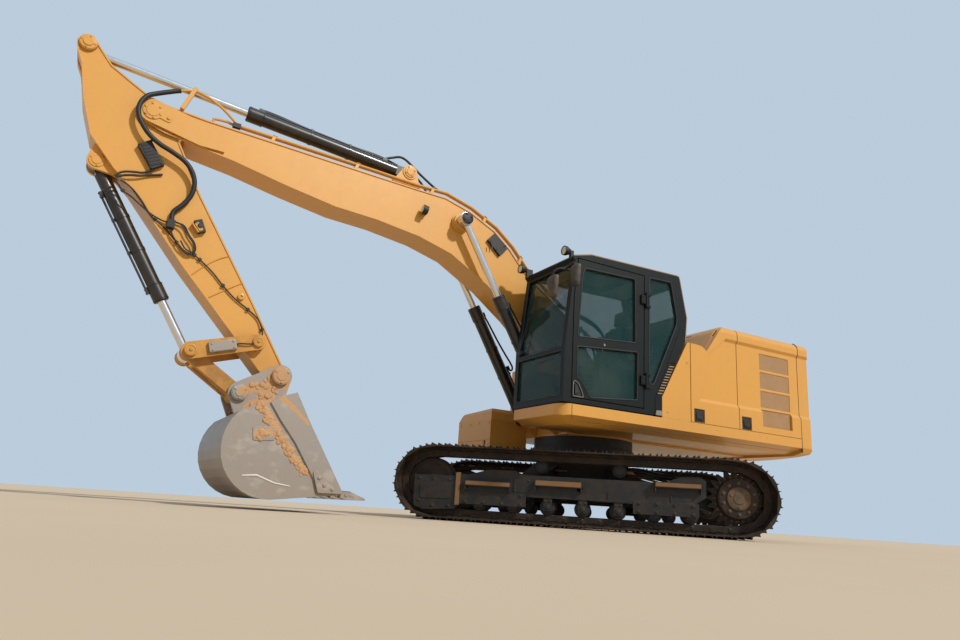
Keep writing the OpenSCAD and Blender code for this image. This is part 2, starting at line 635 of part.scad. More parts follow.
cab_low_z = deck_z + 12;
cab_profile = [[cab_front_x, cab_low_z], [cab_front_x - 4, cab_low_z + 560], [cab_brow_x - 30, cab_top_z - 115],
    [cab_brow_x, cab_top_z - 80], [cab_brow_x - 8, cab_top_z - 60], [cab_brow_x - 249, cab_top_z],
    [cab_rear_x + 38, cab_top_z + 30], [cab_rear_x + 12, cab_top_z + 22], [cab_rear_x, cab_top_z - 10],
    [cab_rear_x - 105, 2465], [cab_rear_x - 80, 2180], [-48, 1480], [-48, cab_low_z]];
module cab_side() polygon(cab_profile);
// The slanted front face's place at a height
function cab_nose_x(z) = let (a = cab_profile[1], b = cab_profile[2]) a[0] + (b[0] - a[0]) * (z - a[1]) / (b[1] - a[1]);
door_low_z = deck_z + 62;
door_high_z = cab_top_z - 75;
module door_side(inset) offset(delta=-inset) intersection() {
    offset(delta=-35) cab_side();
    translate([door_rear_x, door_low_z]) square([door_front_x - door_rear_x, door_high_z - door_low_z]);
}
module quarter_window(inset=0) offset(25 - inset) offset(-25)
    polygon([[135, 2845], [-195, 2855], [-285, 2440], [-278, 2350], [70, 1600], [135, 1600]]);
module windscreen_upper() translate([0, cab_low_z + 620]) square([cab_w - 2 * cab_wall - 20, 880]);

cab_mounts = [[120, 60], [1180, 60], [120, 915], [1180, 915]];
door_hinge = [door_rear_x - 12, cab_y1 + 22];
door_hinge_z = [1627, 2558];
door_hinge_r = 16;
module upright(r, z0, z1) translate([door_hinge[0], door_hinge[1], z0]) cylinder(r=r, h=z1 - z0);
module cab_frame() color(cab_black) at_slew() {
    cab_shell();
    for (m = cab_mounts) translate([m[0], cab_y0 + m[1], deck_z + 0.3]) cylinder(r=50, h=cab_low_z - deck_z + 5);
    // Fixed halves of the door's hinges
    for (z = door_hinge_z, k = [-1, 1]) {
        z0 = z + k * 68 - 17.5;
        upright(door_hinge_r, z0, z0 + 35);
        block(door_hinge[0] - 70, door_hinge[0], cab_y1 - 2, cab_y1 + 10, z0, z0 + 35);
        block(door_hinge[0] - 20, door_hinge[0], cab_y1 + 8, cab_y1 + 22, z0, z0 + 35);
    }
}
module cab_shell() difference() {
    slab(cab_y0, cab_y1) cab_side();
    slab(cab_y0 + cab_wall, cab_y1 - cab_wall) offset(delta=-cab_wall) cab_side();
    // Door opening and rear quarter window on the left
    slab(cab_y1 - cab_wall - 1, cab_y1 + 1) door_side(0);
    slab(cab_y1 - cab_wall - 1, cab_y1 + 1) quarter_window();
    // Right side window
    slab(cab_y0 - 1, cab_y0 + cab_wall + 1) offset(30) offset(-30) intersection() {
        offset(delta=-90) cab_side();
        translate([-500, cab_low_z + 480]) square([2000, 2000]);
    }
    // Groove along the rear pillar and the louvres behind it
    slab(cab_y1 - 6, cab_y1 + 1) polygon([[-339, 2324], [46, 1436], [46, 1290], [55, 1290], [55, 1439],
        [-330, 2328]]);
    slab(cab_y1 - 9, cab_y1 + 1) for (k = [0:11]) translate([0, 1512 + 33 * k])
        polygon([[-350, 0], [-38 - 13.6 * k, 0], [-43 - 13.6 * k, 14], [-350, 14]]);
    // Windscreen, upper and lower, and the rear window
    front_windows(0);
    block(-600, -150, cab_y0 + 110, cab_y1 - 110, cab_top_z - 430, cab_top_z - 90);
    roof_hatch(0);
}
screen_low_z = cab_low_z + 70;
screen_mid_z = cab_low_z + 545;
screen_top_z = cab_top_z - 140;
module front_windows(inset) {
    block(cab_brow_x - 150, cab_front_x + 50, cab_y0 + 60 + inset, cab_y1 - 60 - inset, screen_mid_z + 40 + inset,
        screen_top_z - inset);
    block(cab_brow_x - 150, cab_front_x + 50, cab_y0 + 60 + inset, cab_y1 - 60 - inset, screen_low_z + inset,
        screen_mid_z - inset);
}
module roof_hatch(inset) block(150 + inset, 800 - inset, cab_y0 + 160 + inset, cab_y1 - 160 - inset,
    cab_top_z - 100, cab_top_z + 60);
seat_gap = 0.3;
module cab_glass() color(tint) at_slew() {
    slab(cab_y1 - cab_wall / 2 - glass_t, cab_y1 - cab_wall / 2) quarter_window(seat_gap);
    slab(cab_y0 + cab_wall / 2, cab_y0 + cab_wall / 2 + glass_t) offset(30 - seat_gap) offset(-30) intersection() {
        offset(delta=-90) cab_side();
        translate([-500, cab_low_z + 480]) square([2000, 2000]);
    }
    intersection() {
        front_windows(seat_gap);
        slab(cab_y0, cab_y1) difference() {
            offset(delta=-cab_wall / 2) cab_side();
            offset(delta=-cab_wall / 2 - glass_t) cab_side();
        }
    }
    intersection() {
        roof_hatch(seat_gap);
        block(0, 1000, cab_y0, cab_y1, cab_top_z - 35, cab_top_z - 35 + glass_t);
    }
    intersection() {
        block(-600, -150, cab_y0 + 110 + seat_gap, cab_y1 - 110 - seat_gap, cab_top_z - 430 + seat_gap,
            cab_top_z - 90 - seat_gap);
        slab(cab_y0, cab_y1) difference() {
            offset(delta=-cab_wall / 2) cab_side();
            offset(delta=-cab_wall / 2 - glass_t) cab_side();
        }
    }
}

seat_x = 420;
seat_y = (cab_y0 + cab_y1) / 2;
module seat() color(dark) at_slew() {
    block(seat_x - 230, seat_x + 170, seat_y - 220, seat_y + 220, cab_low_z + cab_wall, cab_low_z + 330);
    soft_block(seat_x - 250, seat_x + 260, seat_y - 255, seat_y + 255, cab_low_z + 330, cab_low_z + 470, 50);
    translate([0, seat_y + 240, 0]) rotate([90, 0, 0]) linear_extrude(480) polygon([
        [seat_x - 250, cab_low_z + 470], [seat_x - 130, cab_low_z + 470], [seat_x - 230, cab_low_z + 1080],
        [seat_x - 330, cab_low_z + 1080]]);
    translate([0, seat_y + 130, 0]) rotate([90, 0, 0]) linear_extrude(260) polygon([
        [seat_x - 325, cab_low_z + 1080], [seat_x - 240, cab_low_z + 1080], [seat_x - 265, cab_low_z + 1280],
        [seat_x - 345, cab_low_z + 1280]]);
}
module cab_controls() color(dark) at_slew() {
    for (side = [-1, 1]) {
        y = seat_y + side * 330;
        soft_block(seat_x - 200, seat_x + 340, y - 60, y + 60, cab_low_z + cab_wall, cab_low_z + 600, 30);
        translate([seat_x + 280, y, cab_low_z + 600]) cylinder(r1=30, r2=14, h=60);
        translate([seat_x + 280, y, cab_low_z + 660]) cylinder(r=22, h=140);
    }
    // Travel pedals with their levers
    for (side = [-1, 1]) {
        y = seat_y + side * 75;
        block(cab_front_x - 330, cab_front_x - 130, y - 55, y + 55, cab_low_z + cab_wall, cab_low_z + 110);
        tube([[cab_front_x - 250, y, cab_low_z + 108], [cab_front_x - 280, y, cab_low_z + 500],
            [cab_front_x - 330, y, cab_low_z + 800]], 12);
    }
    // Display on an arm from the right console
    block(seat_x + 300, seat_x + 330, seat_y - 380, seat_y - 340, cab_low_z + 590, cab_low_z + 740);
    block(seat_x + 300, seat_x + 420, seat_y - 380, seat_y - 340, cab_low_z + 700, cab_low_z + 740);
    block(seat_x + 410, seat_x + 450, seat_y - 430, seat_y - 265, cab_low_z + 690, cab_low_z + 890);
}

module work_lamp(at, back) translate(at) rotate([0, 90, 0]) {
    cylinder(r=lamp_r, h=26);
    translate([0, 0, -48]) cylinder(r1=lamp_r * 0.6, r2=lamp_r, h=48);
    translate([-8, -8, -48 - back]) cube([16, 16, back + 2]);
}
module cab_lamps() color(dark) at_slew() difference() {
    union() {
        work_lamp([cab_brow_x - 45, cab_y1 - 205, cab_top_z + 60], 30);
        block(cab_brow_x - 140, cab_brow_x - 100, cab_y1 - 225, cab_y1 - 185, cab_top_z - 60, cab_top_z + 76);
        work_lamp([cab_brow_x + 82, cab_y0 + 58, cab_top_z + 8], 30);
        block(cab_brow_x - 60, cab_brow_x + 24, cab_y0 + 40, cab_y0 + 76, cab_top_z - 90, cab_top_z + 22);
    }
    slab(cab_y0 - 10, cab_y1 + 10) offset(delta=0.3) cab_side();
}
// A mirror's shell, narrower at its foot
module mirror_head(at, w, h) translate(at) intersection() {
    translate([-30, 0, 0]) rotate([90, 0, 90]) linear_extrude(60) polygon([[-w / 2, h / 2 - 30], [-w / 2 + 25, h / 2],
        [w / 2 - 25, h / 2], [w / 2, h / 2 - 30], [w * 0.36, -h / 2], [-w * 0.36, -h / 2]]);
    slab(-w, w) polygon([[-30, -h / 2], [8, -h / 2], [30, h / 2 - 50], [14, h / 2], [-30, h / 2]]);
}
mirror_z = 2700;
module mirrors() color(dark) at_slew() {
    mirror_head([cab_front_x + 130, cab_y1 - 80, mirror_z - 210], 165, 250);
    mirror_head([cab_front_x - 8, cab_y1 + 132, mirror_z - 108], 145, 250);
    tube([[cab_nose_x(mirror_z - 12) + 0.3, cab_y1 - 30, mirror_z], [cab_front_x + 20, cab_y1 - 30, mirror_z],
        [cab_front_x + 110, cab_y1 - 60, mirror_z - 30], [cab_front_x + 128, cab_y1 - 80, mirror_z - 90]], 12);
    tube([[cab_front_x - 2, cab_y1 - 30, mirror_z], [cab_front_x - 4, cab_y1 + 60, mirror_z + 24],
        [cab_front_x - 6, cab_y1 + 120, mirror_z + 30], [cab_front_x - 8, cab_y1 + 132, mirror_z + 12]], 12,
        side_axis=[1, 0, 0]);
}

module cab_door() color(cab_black) at_slew() {
    difference() {
        slab(cab_y1 - cab_wall, cab_y1) door_side(door_gap);
        slab(cab_y1 - cab_wall - 1, cab_y1 + 1) door_windows(0);
        // Recess of the handle, and the lock's hole
        slab(cab_y1 - 12, cab_y1 + 1) offset(12) offset(-12) polygon([[1160, 1335], [1160, 1480], [1138, 1490],
            [1103, 1470], [1058, 1395], [1035, 1335]]);
        cross_pin(14, cab_y1 - 12, cab_y1 + 1, [760, 1940]);
    }
    for (z = door_hinge_z) {
        upright(door_hinge_r, z - 50, z + 50);
        block(door_hinge[0], door_hinge[0] + 75, cab_y1 + 6, cab_y1 + 24, z - 50, z + 50);
        block(door_rear_x + 14, door_hinge[0] + 75, cab_y1 - 2, cab_y1 + 8, z - 50, z + 50);
    }
}
module door_windows(inset) {
    offset(25 - inset) offset(-25) polygon([[330, 2035], [1122, 1975], [1078, 2690], [1048, 2755], [345, 2780]]);
    offset(25 - inset) offset(-25) polygon([[305, 1395], [945, 1340], [1060, 1500], [1115, 1525], [1125, 1868],
        [300, 1935]]);
}
module cab_door_glass() color(tint) at_slew()
    slab(cab_y1 - cab_wall / 2 - glass_t, cab_y1 - cab_wall / 2) door_windows(seat_gap);

// Boom

boom_outline = [[-150, -90], [-70, 200], [480, 560], [1330, 793], [1617, 946], [1897, 1045], [2280, 1084],
    [2634, 1056], [3040, 924], [3537, 770], [5240, 246], [5609, 149], [5700, 130], [5770, 110], [5830, 20],
    [5800, -90], [5700, -135], [5510, -134], [5222, -77], [4816, 4], [4279, 78], [3717, 175], [3246, 312],
    [2726, 420], [2293, 452], [1728, 356], [1220, 206], [700, 0], [250, -150], [0, -170], [-100, -150]];
tip_clear = 395;
module boom_web() polygon(boom_outline);
module boom() color(paint) at_boom() difference() {
    union() {
        slab(-boom_half_w + 10, boom_half_w - 10) boom_web();
        mirror_copy([0, 1, 0]) slab(boom_half_w - 14, boom_half_w) difference() {
            boom_web();
            offset(delta=-16) boom_web();
        }
        // Thick fork plates round the tip pin
        mirror_copy([0, 1, 0]) slab(stick_half_w + 8, boom_half_w + 22) hull() {
            translate([boom_len, 0]) circle(125, $fn=32);
            polygon([[5100, 200], [4950, 20], [5180, -60]]);
        }
        cross_pin(105, -boom_cyl_y + rod_eye_half + 0.5, boom_cyl_y - rod_eye_half - 0.5, boom_eye_at);
        mirror_copy([0, 1, 0]) cross_pin(90, 65, 115, stick_cyl_foot_at);
        mirror_copy([0, 1, 0]) slab(65, 105) hull() {
            translate(stick_cyl_foot_at) circle(90, $fn=32);
            polygon([[2900, 940], [3300, 820], [3300, 780], [2900, 900]]);
        }
        cross_pin(pin_r, -130, 130, stick_cyl_foot_at);
    }
    // Slot for the stick between the fork plates
    slab(-stick_half_w - 8, stick_half_w + 8) hull() {
        translate([boom_len, 0]) circle(tip_clear, $fn=64);
        translate([boom_len + 400, 0]) circle(tip_clear, $fn=32);
    }
    cross_pin(pin_r + 6 + pin_gap, -600, 600, [0, 0]);
    cross_pin(pin_r + pin_gap, -600, 600, [boom_len, 0]);
}
rod_eye_half = 49;
boom_eye_at = boom_eye_len * [cos(boom_eye_deg), sin(boom_eye_deg)];
pipe_r = 15;
pipe_end = [5600, 352];
pipe_aim = -42;
hose_out_y = boom_half_w + 17;
function aimed(d) = pipe_end + d * [cos(pipe_aim), sin(pipe_aim)];
// Clamps of the pipes on the boom: place along, and a height inside the boom there
clamp_table = [[900, 500], [1420, 600], [2060, 700], [2800, 700], [3700, 500], [4600, 250]];
clamp_x = 0;
clamp_z = 1;
function pipe_run(y) = [[700, y, 690], [1300, y, 860], [1590, y, 1010], [1890, y, 1110], [2280, y, 1150],
    [2640, y, 1125], [3040, y, 985], [3540, y, 835], [4980, y, 385]];
module boom_pipes() color(paint) at_boom() {
    for (side = [-1, 1], k = [0, 1]) {
        y = side * (boom_half_w - 20 - k * 34);
        tube(concat(pipe_run(y), side > 0 && k == 0 ?
            [[5128, boom_half_w - 12, 436], [5212, boom_half_w - 2, 454], [5341, boom_half_w + 8, 465],
            [5469, boom_half_w + 15, 450], lifted(aimed(-60), hose_out_y), lifted(pipe_end, hose_out_y)] :
            [[5090, y, 372], [5160, y, 345], [5212.6, y, 317.3], [5195.1, y, 260.2]]), pipe_r);
    }
    block(5478, 5518, boom_half_w - 12, boom_half_w + 36, 184, 472);
    mirror_copy([0, 1, 0]) slab(boom_half_w - 71, boom_half_w - 4) difference() {
        intersection() {
            offset(delta=70) boom_web();
            for (c = clamp_table) translate([c[clamp_x], c[clamp_z]]) square([36, 900]);
        }
        offset(delta=0.3) boom_web();
    }
}
module boom_fittings() color(dark) at_boom() {
    translate([1810, boom_half_w - 9.7, 890]) rotate([0, -22, 0]) block(-123, 123, 0, 37, -72, 72);
    translate([2790, boom_half_w + 70, 720]) rotate([0, 100, 0]) cylinder(r=lamp_r, h=60);
    translate([2790, boom_half_w - 9.7, 705]) block(-20, 20, 0, 70, -10, 10);
}

slide_gap = 0.6;
// A cylinder's barrel along +X from its foot pin, with its bore open at the gland
module barrel(length, r, eye_w, neck) difference() {
    union() {
        rotate([0, 90, 0]) translate([0, 0, neck]) cylinder(r=r, h=length - neck - 100);
        rotate([0, 90, 0]) translate([0, 0, length - 170]) cylinder(r=r + 8, h=170);
        block(0, neck + 2, -eye_w / 2 + 4, eye_w / 2 - 4, -r * 0.8, r * 0.8);
        cross_pin(78, -eye_w / 2, eye_w / 2, [0, 0]);
    }
    rotate([0, 90, 0]) translate([0, 0, neck + 20]) cylinder(r=r - 12, h=length - neck - 80);
    rotate([0, 90, 0]) translate([0, 0, length - 61]) cylinder(r=rod_r + slide_gap, h=80);
    cross_pin(pin_r + pin_gap, -eye_w, eye_w, [0, 0]);
}
// A rod along -X from its eye, with its piston
module rod(length, r, eye_w, eye_r=82) {
    rotate([0, -90, 0]) cylinder(r=rod_r, h=length);
    rotate([0, -90, 0]) translate([0, 0, length - 70]) cylinder(r=r - 12 - slide_gap, h=70);
    cross_pin(eye_r, -eye_w / 2, eye_w / 2, [0, 0]);
}
module along(a, b, y=0, back=false) translate([back ? b[0] : a[0], y, back ? b[1] : a[1]])
    rotate([0, -between(a, b), 0]) children();

module boom_barrels() color(dark) at_slew() for (s = [-1, 1])
    along(boom_cyl_foot, boom_eye, s * boom_cyl_y) barrel(boom_barrel_len, barrel_r, 98, 112);
module boom_rods() color(chrome) at_slew() for (s = [-1, 1]) along(boom_cyl_foot, boom_eye, s * boom_cyl_y, true) {
    rod(boom_rod_len, barrel_r, 2 * rod_eye_half);
    mirror([0, s > 0 ? 0 : 1, 0]) cross_pin(76, 48, 78, [0, 0]);
}
module stick_barrel() color(dark) at_slew() along(stick_cyl_foot, stick_eye)
    barrel(stick_barrel_len, barrel_r + 4, 118, 155);
module stick_rod() color(chrome) at_slew() along(stick_cyl_foot, stick_eye, 0, true)
    rod(stick_rod_len, barrel_r + 4, 119, 92);

// Stick

stick_outline = [[stick_len + 90, 60], [stick_len - 83, 154], [2343, 238], [1516, 389], [637, 506], [433, 563],
    [62, 619], [-300, 530], [-633, 403], [-760, 385], [-870, 340], [-900, 270], [-870, 190], [-704, 170],
    [-549, 150], [-364, 55], [-150, -60], [-60, -150], [60, -150], [150, -130], [900, -75], [2100, -80],
    [stick_len - 100, -70], [stick_len + 30, -100], [stick_len + 95, -40]];
module stick() color(paint) at_stick() {
    stick_body();
    cross_pin(pin_r, -112, 112, bucket_cyl_foot_at);
}
module stick_body() difference() {
    union() {
        slab(-stick_half_w + 8, stick_half_w - 8) polygon(stick_outline);
        mirror_copy([0, 1, 0]) slab(stick_half_w - 12, stick_half_w) difference() {
            polygon(stick_outline);
            offset(delta=-16) polygon(stick_outline);
        }
        // Head lugs of the bucket cylinder
        mirror_copy([0, 1, 0]) slab(66, 106) hull() {
            translate(bucket_cyl_foot_at) circle(88, $fn=32);
            polygon([[100, 560], [560, 480], [600, 440], [100, 480]]);
        }
        cross_pin(82, -stick_half_w - 50.5, stick_half_w + 50.5, idler_pin_at);
        cross_pin(pin_r, -boom_half_w - 34, boom_half_w + 34, [0, 0]);
    }
    // Room for the rod's eye between the head's two plates
    slab(-60, 60) polygon([[-1200, -200], [-400, -200], [-400, 380], [-500, 400], [-520, 800], [-1200, 800]]);
    cross_pin(92, -62, 62, bucket_cyl_foot_at);
    cross_pin(pin_r - 2 + pin_gap, -400, 400, idler_pin_at);
    cross_pin(pin_r - 2 + pin_gap, -400, 400, [stick_len, 0]);
}
module stick_fittings() color(dark) at_stick() {
    translate([415, stick_half_w - 7.7, 200]) rotate([0, 3, 0]) block(-135, 135, 0, 56, -65, 65);
    translate([1225, stick_half_w - 7.7, 75]) rotate([0, -8, 0]) block(-65, 65, 0, 55, -38, 38);
    translate([hose_end_at[0], 0, hose_end_at[1]]) rotate([0, -hose_end_aim, 0])
        block(0.3, 80, stick_half_w - 7.7, hose_end_y + 36, -36, 36);
    mirror_copy([0, 1, 0]) cross_pin(78, stick_half_w + 0.3, stick_half_w + 24, stick_eye_at);
}
module bucket_barrel() color(dark) at_slew() along(bucket_cyl_foot, link_pin)
    barrel(bucket_barrel_len, barrel_r - 6, 118, 112);
module bucket_rod() color(chrome) at_slew() along(bucket_cyl_foot, link_pin, 0, true)
    rod(bucket_rod_len, barrel_r - 6, 139, 80);

idler_y0 = stick_half_w + 51;
idler_y1 = idler_y0 + 36;
module idler_links() color(paint) at_slew() {
    mirror_copy([0, 1, 0]) {
        slab(idler_y0, idler_y1) strap(idler_pin, 78, link_pin, 84);
        cross_pin(60, idler_y1 - 2, idler_y1 + 30, link_pin);
        cross_pin(54, idler_y1 - 2, idler_y1 + 22, idler_pin);
    }
    cross_pin(pin_r - 2, -idler_y1, idler_y1, idler_pin);
}
module power_link() color(paint) at_slew() difference() {
    union() {
        cross_pin(84, -160, 160, power_pin);
        mirror_copy([0, 1, 0]) {
            slab(70, 150) strap(power_pin, 70, link_pin, 66);
            cross_pin(80, 70, idler_y0 - 0.5, link_pin);
        }
        slab(-80, 80) hull() {
            translate(power_pin) circle(60, $fn=32);
            translate(power_pin + (link_pin - power_pin) * 0.42) circle(56, $fn=32);
        }
    }
    cross_pin(pin_r - 2 + pin_gap, -300, 300, power_pin);
}

// Bucket, at rest coordinates from its pin

ear_y0 = stick_half_w + 5;
ear_y1 = ear_y0 + 38;
bowl_mid = [90, -745];
bowl_r = 455;
bowl_from = -95;
bowl_to = 42;
lip = [-600, -1115];
crown = [-70, -208];
function bowl_point(a, r) = bowl_mid + r * [cos(a), sin(a)];
function bowl(inset) = concat(
    [lip + [0, inset], [50, bowl_mid[1] - bowl_r + 2 + inset]],
    [for (k = [0:12]) bowl_point(bowl_from + (bowl_to - bowl_from) * k / 12, bowl_r - inset)],
    [[175, -300 - inset], crown + [0, -inset]]);
module at_bucket() at_slew() translate([bucket_pin[0], 0, bucket_pin[1]]) children();
module bucket() color(steel) at_bucket() difference() {
    union() {
        difference() {
            slab(-bucket_w / 2, bucket_w / 2) polygon(bowl(0));
            slab(-bucket_w / 2 + bucket_wall, bucket_w / 2 - bucket_wall) polygon(concat(
                [lip + [-200, bucket_wall]], bowl(bucket_wall), [crown + [-300, -bucket_wall]]));
        }
        // Ears with their hubs
        mirror_copy([0, 1, 0]) slab(ear_y0, ear_y1) hull() {
            circle(112, $fn=32);
            translate(power_pin - bucket_pin) circle(105, $fn=32);
            polygon([[-60, -250], [330, -430], [-60, -225], [395, -418]]);
        }
        mirror_copy([0, 1, 0]) cross_pin(92, ear_y1 - 2, ear_y1 + 45, [0, 0]);
        mirror_copy([0, 1, 0]) cross_pin(80, ear_y1 - 2, ear_y1 + 40, power_pin - bucket_pin);
        cross_pin(pin_r - 2, -ear_y1 - 50, ear_y1 + 50, [0, 0]);
        cross_pin(pin_r - 2, -ear_y1 - 45, ear_y1 + 45, power_pin - bucket_pin);
        // Bars along the front edges of the side plates
        mirror_copy([0, 1, 0]) slab(bucket_w / 2 - 4, bucket_w / 2 + 18)
            polygon([lip + [-15, 14], lip + [185, -2], [-297, -958], [-104, -672], [51, -489], [165, -335],
                [95, -275], crown + [10, -12]]);
    }
}
module bucket_teeth() color(steel) at_bucket() {
    for (k = [0:tooth_count - 1]) {
        y = -bucket_w / 2 + 70 + k * (bucket_w - 140) / (tooth_count - 1);
        translate([0, y, 0]) slab(-45, 45) polygon([lip + [-0.3, -22], lip + [-60, -40], lip + [-250, -36],
            lip + [-250, -16], lip + [-90, 40], lip + [-0.3, 44]]);
    }
}

// Hose from the end of a boom pipe round to the stick: x, y and z ahead of the slew axis
hose_end_at = [1087, 297];
hose_end_aim = 34.5;
hose_end_y = 195;
function lifted(p, y) = [p[0], y, p[1]];
hose_path = concat([lifted(from_boom(aimed(0.3)), hose_out_y), lifted(from_boom(aimed(50)), hose_out_y)],
    [[5478, 222, 3908], [5557, 234, 3848], [5603, 243, 3760], [5610, 248, 3656], [5568, 249, 3554], [5482, 249, 3450],
        [5373, 249, 3377], [5240, 248, 3325], [5115, 244, 3262], [5036, 238, 3175], [4998, 228, 3070],
        [5005, 216, 2952], [5061, 204, 2839]],
    [lifted(from_stick(hose_end_at - 90 * [cos(hose_end_aim), sin(hose_end_aim)]), hose_end_y),
        lifted(from_stick(hose_end_at), hose_end_y)]);
module stick_hose() color(dark) at_slew() tube(hose_path, 24, sides=10);

carbody();
track_frame_left();
track_frame_right();
track_left();
track_right();
sprockets();
idlers();
bottom_rollers();
carrier_rollers();
slew_ring();
main_frame();
left_platform();
right_platform();
counterweight();
engine_bay();
engine_block();
cooling_pack();
exhaust_pipe();
step_box();
fuel_tank();
oil_tank();
handrails();
cab_frame();
cab_glass();
seat();
cab_controls();
cab_lamps();
mirrors();
cab_door();
cab_door_glass();
bay_door_front();
bay_door_rear();
bay_door_right();
hood();
boom();
boom_pipes();
boom_fittings();
boom_barrels();
boom_rods();
stick_barrel();
stick_rod();
stick();
stick_fittings();
bucket_barrel();
bucket_rod();
idler_links();
power_link();
bucket();
bucket_teeth();
stick_hose();
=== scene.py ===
"""Looks for the crawler excavator: materials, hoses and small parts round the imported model. Metres."""
import random
from functools import reduce
from math import atan2, cos, degrees, pi, radians, sin, sqrt

import bmesh
import bpy
from mathutils import Matrix, Vector


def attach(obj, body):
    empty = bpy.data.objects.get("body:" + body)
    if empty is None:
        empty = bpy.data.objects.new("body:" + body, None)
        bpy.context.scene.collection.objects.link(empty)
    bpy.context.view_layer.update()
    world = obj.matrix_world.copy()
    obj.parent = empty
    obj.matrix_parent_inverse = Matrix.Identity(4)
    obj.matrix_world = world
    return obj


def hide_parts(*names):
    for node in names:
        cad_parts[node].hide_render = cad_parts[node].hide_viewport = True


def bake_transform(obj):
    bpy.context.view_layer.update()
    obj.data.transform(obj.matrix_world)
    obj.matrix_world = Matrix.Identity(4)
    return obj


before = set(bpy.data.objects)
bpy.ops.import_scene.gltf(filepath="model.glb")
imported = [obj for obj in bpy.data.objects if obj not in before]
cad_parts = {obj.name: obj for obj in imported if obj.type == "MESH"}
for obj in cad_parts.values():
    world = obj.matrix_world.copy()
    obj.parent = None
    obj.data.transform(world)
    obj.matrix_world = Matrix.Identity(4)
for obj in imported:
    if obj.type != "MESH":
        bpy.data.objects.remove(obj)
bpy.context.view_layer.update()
scene = bpy.context.scene

# Places from the part's source, in metres and degrees
SLEW_BACK = 1.6635
FOOT = (.108, 1.831)
BOOM_DEG = 19.36
BOOM_LEN = 5.7
STICK_DEG = -123.25
STICK_LEN = 2.9
TRACK_TURN = 37.7
BOOM_HALF = .19
STICK_HALF = .165
X, Y, Z = (Vector(v) for v in ((1, 0, 0), (0, 1, 0), (0, 0, 1)))
BOTH = (-1, 1)
LEFT_RIGHT = ((1, "left"), (-1, "right"))


def turned(x, z, deg):
    a = radians(deg)
    return x * cos(a) - z * sin(a), x * sin(a) + z * cos(a)


TIP = tuple(f + d for f, d in zip(FOOT, turned(BOOM_LEN, 0, BOOM_DEG)))


def upper(x, y, z):
    """A point ahead of the slew axis, in the row frame."""
    return Vector((x - SLEW_BACK, y, z))


def right_side(x, y, z):
    return upper(x, -y, z)


def on_boom(x, y, z):
    """A point in the boom's axes: along the line of its pins, across, and up from it."""
    dx, dz = turned(x, z, BOOM_DEG)
    return upper(FOOT[0] + dx, y, FOOT[1] + dz)


def on_stick(x, y, z):
    """A point in the stick's axes: along from the boom's tip, across, and out from the line of pins."""
    dx, dz = turned(x, z, STICK_DEG)
    return upper(TIP[0] + dx, y, TIP[1] + dz)


def at_bucket(x, y, z):
    """A point from the bucket's pin."""
    dx, dz = turned(STICK_LEN, 0, STICK_DEG)
    return upper(TIP[0] + dx + x, y, TIP[1] + dz + z)


def on_track(x, y, z):
    """A point in the undercarriage's axes."""
    dx, dy = turned(x, y, -TRACK_TURN)
    return upper(dx, dy, z)


def on_right_track(x, y, z):
    return on_track(x, -y, z)


# The body that a piece rides on, and the axes that it is drawn in
UPPER, RIGHT = ("upper", upper), ("upper", right_side)
HOOD, CAB_DOOR = ("hood", upper), ("cab_door", upper)
BOOM, STICK = ("boom", on_boom), ("stick", on_stick)
LINKS, BUCKET = ("idler_links", on_stick), ("bucket", at_bucket)
LEFT_TRACK, RIGHT_TRACK = ("undercarriage", on_track), ("undercarriage", on_right_track)

# Camera at floor level, at the photograph's viewing angle
CAM_AT = upper(5.5098, 7.3892, .1)
CAM_YAW, CAM_PITCH, CAM_ROLL, CAM_F = 241.993, 15.042, 3.75, 717.5
SENSOR, PICTURE_WIDTH = 36, 960
cam_data = bpy.data.cameras.new("camera")
cam_data.sensor_width = SENSOR
cam_data.lens = CAM_F / PICTURE_WIDTH * SENSOR
cam_data.clip_end = 400
cam = bpy.data.objects.new("camera", cam_data)
scene.collection.objects.link(cam)
yaw, pitch, roll = (radians(v) for v in (CAM_YAW, CAM_PITCH, CAM_ROLL))
look = Vector((cos(pitch) * cos(yaw), cos(pitch) * sin(yaw), sin(pitch)))
level = look.cross(Z).normalized()
over = level.cross(look)
right = level * cos(roll) + over * sin(roll)
up = over * cos(roll) - level * sin(roll)
cam.matrix_world = Matrix.Translation(CAM_AT) @ Matrix((right, up, -look)).transposed().to_4x4()
scene.camera = cam

# Materials

DUST = (.62, .46, .29)
MUD = (.76, .61, .46)
YELLOW = (.85, .625, .275)


def linear(rgb):
    return tuple(c / 12.92 if c <= .04045 else ((c + .055) / 1.055) ** 2.4 for c in rgb)


def shade(rgb, k):
    return tuple(min(1, c * k) for c in rgb)


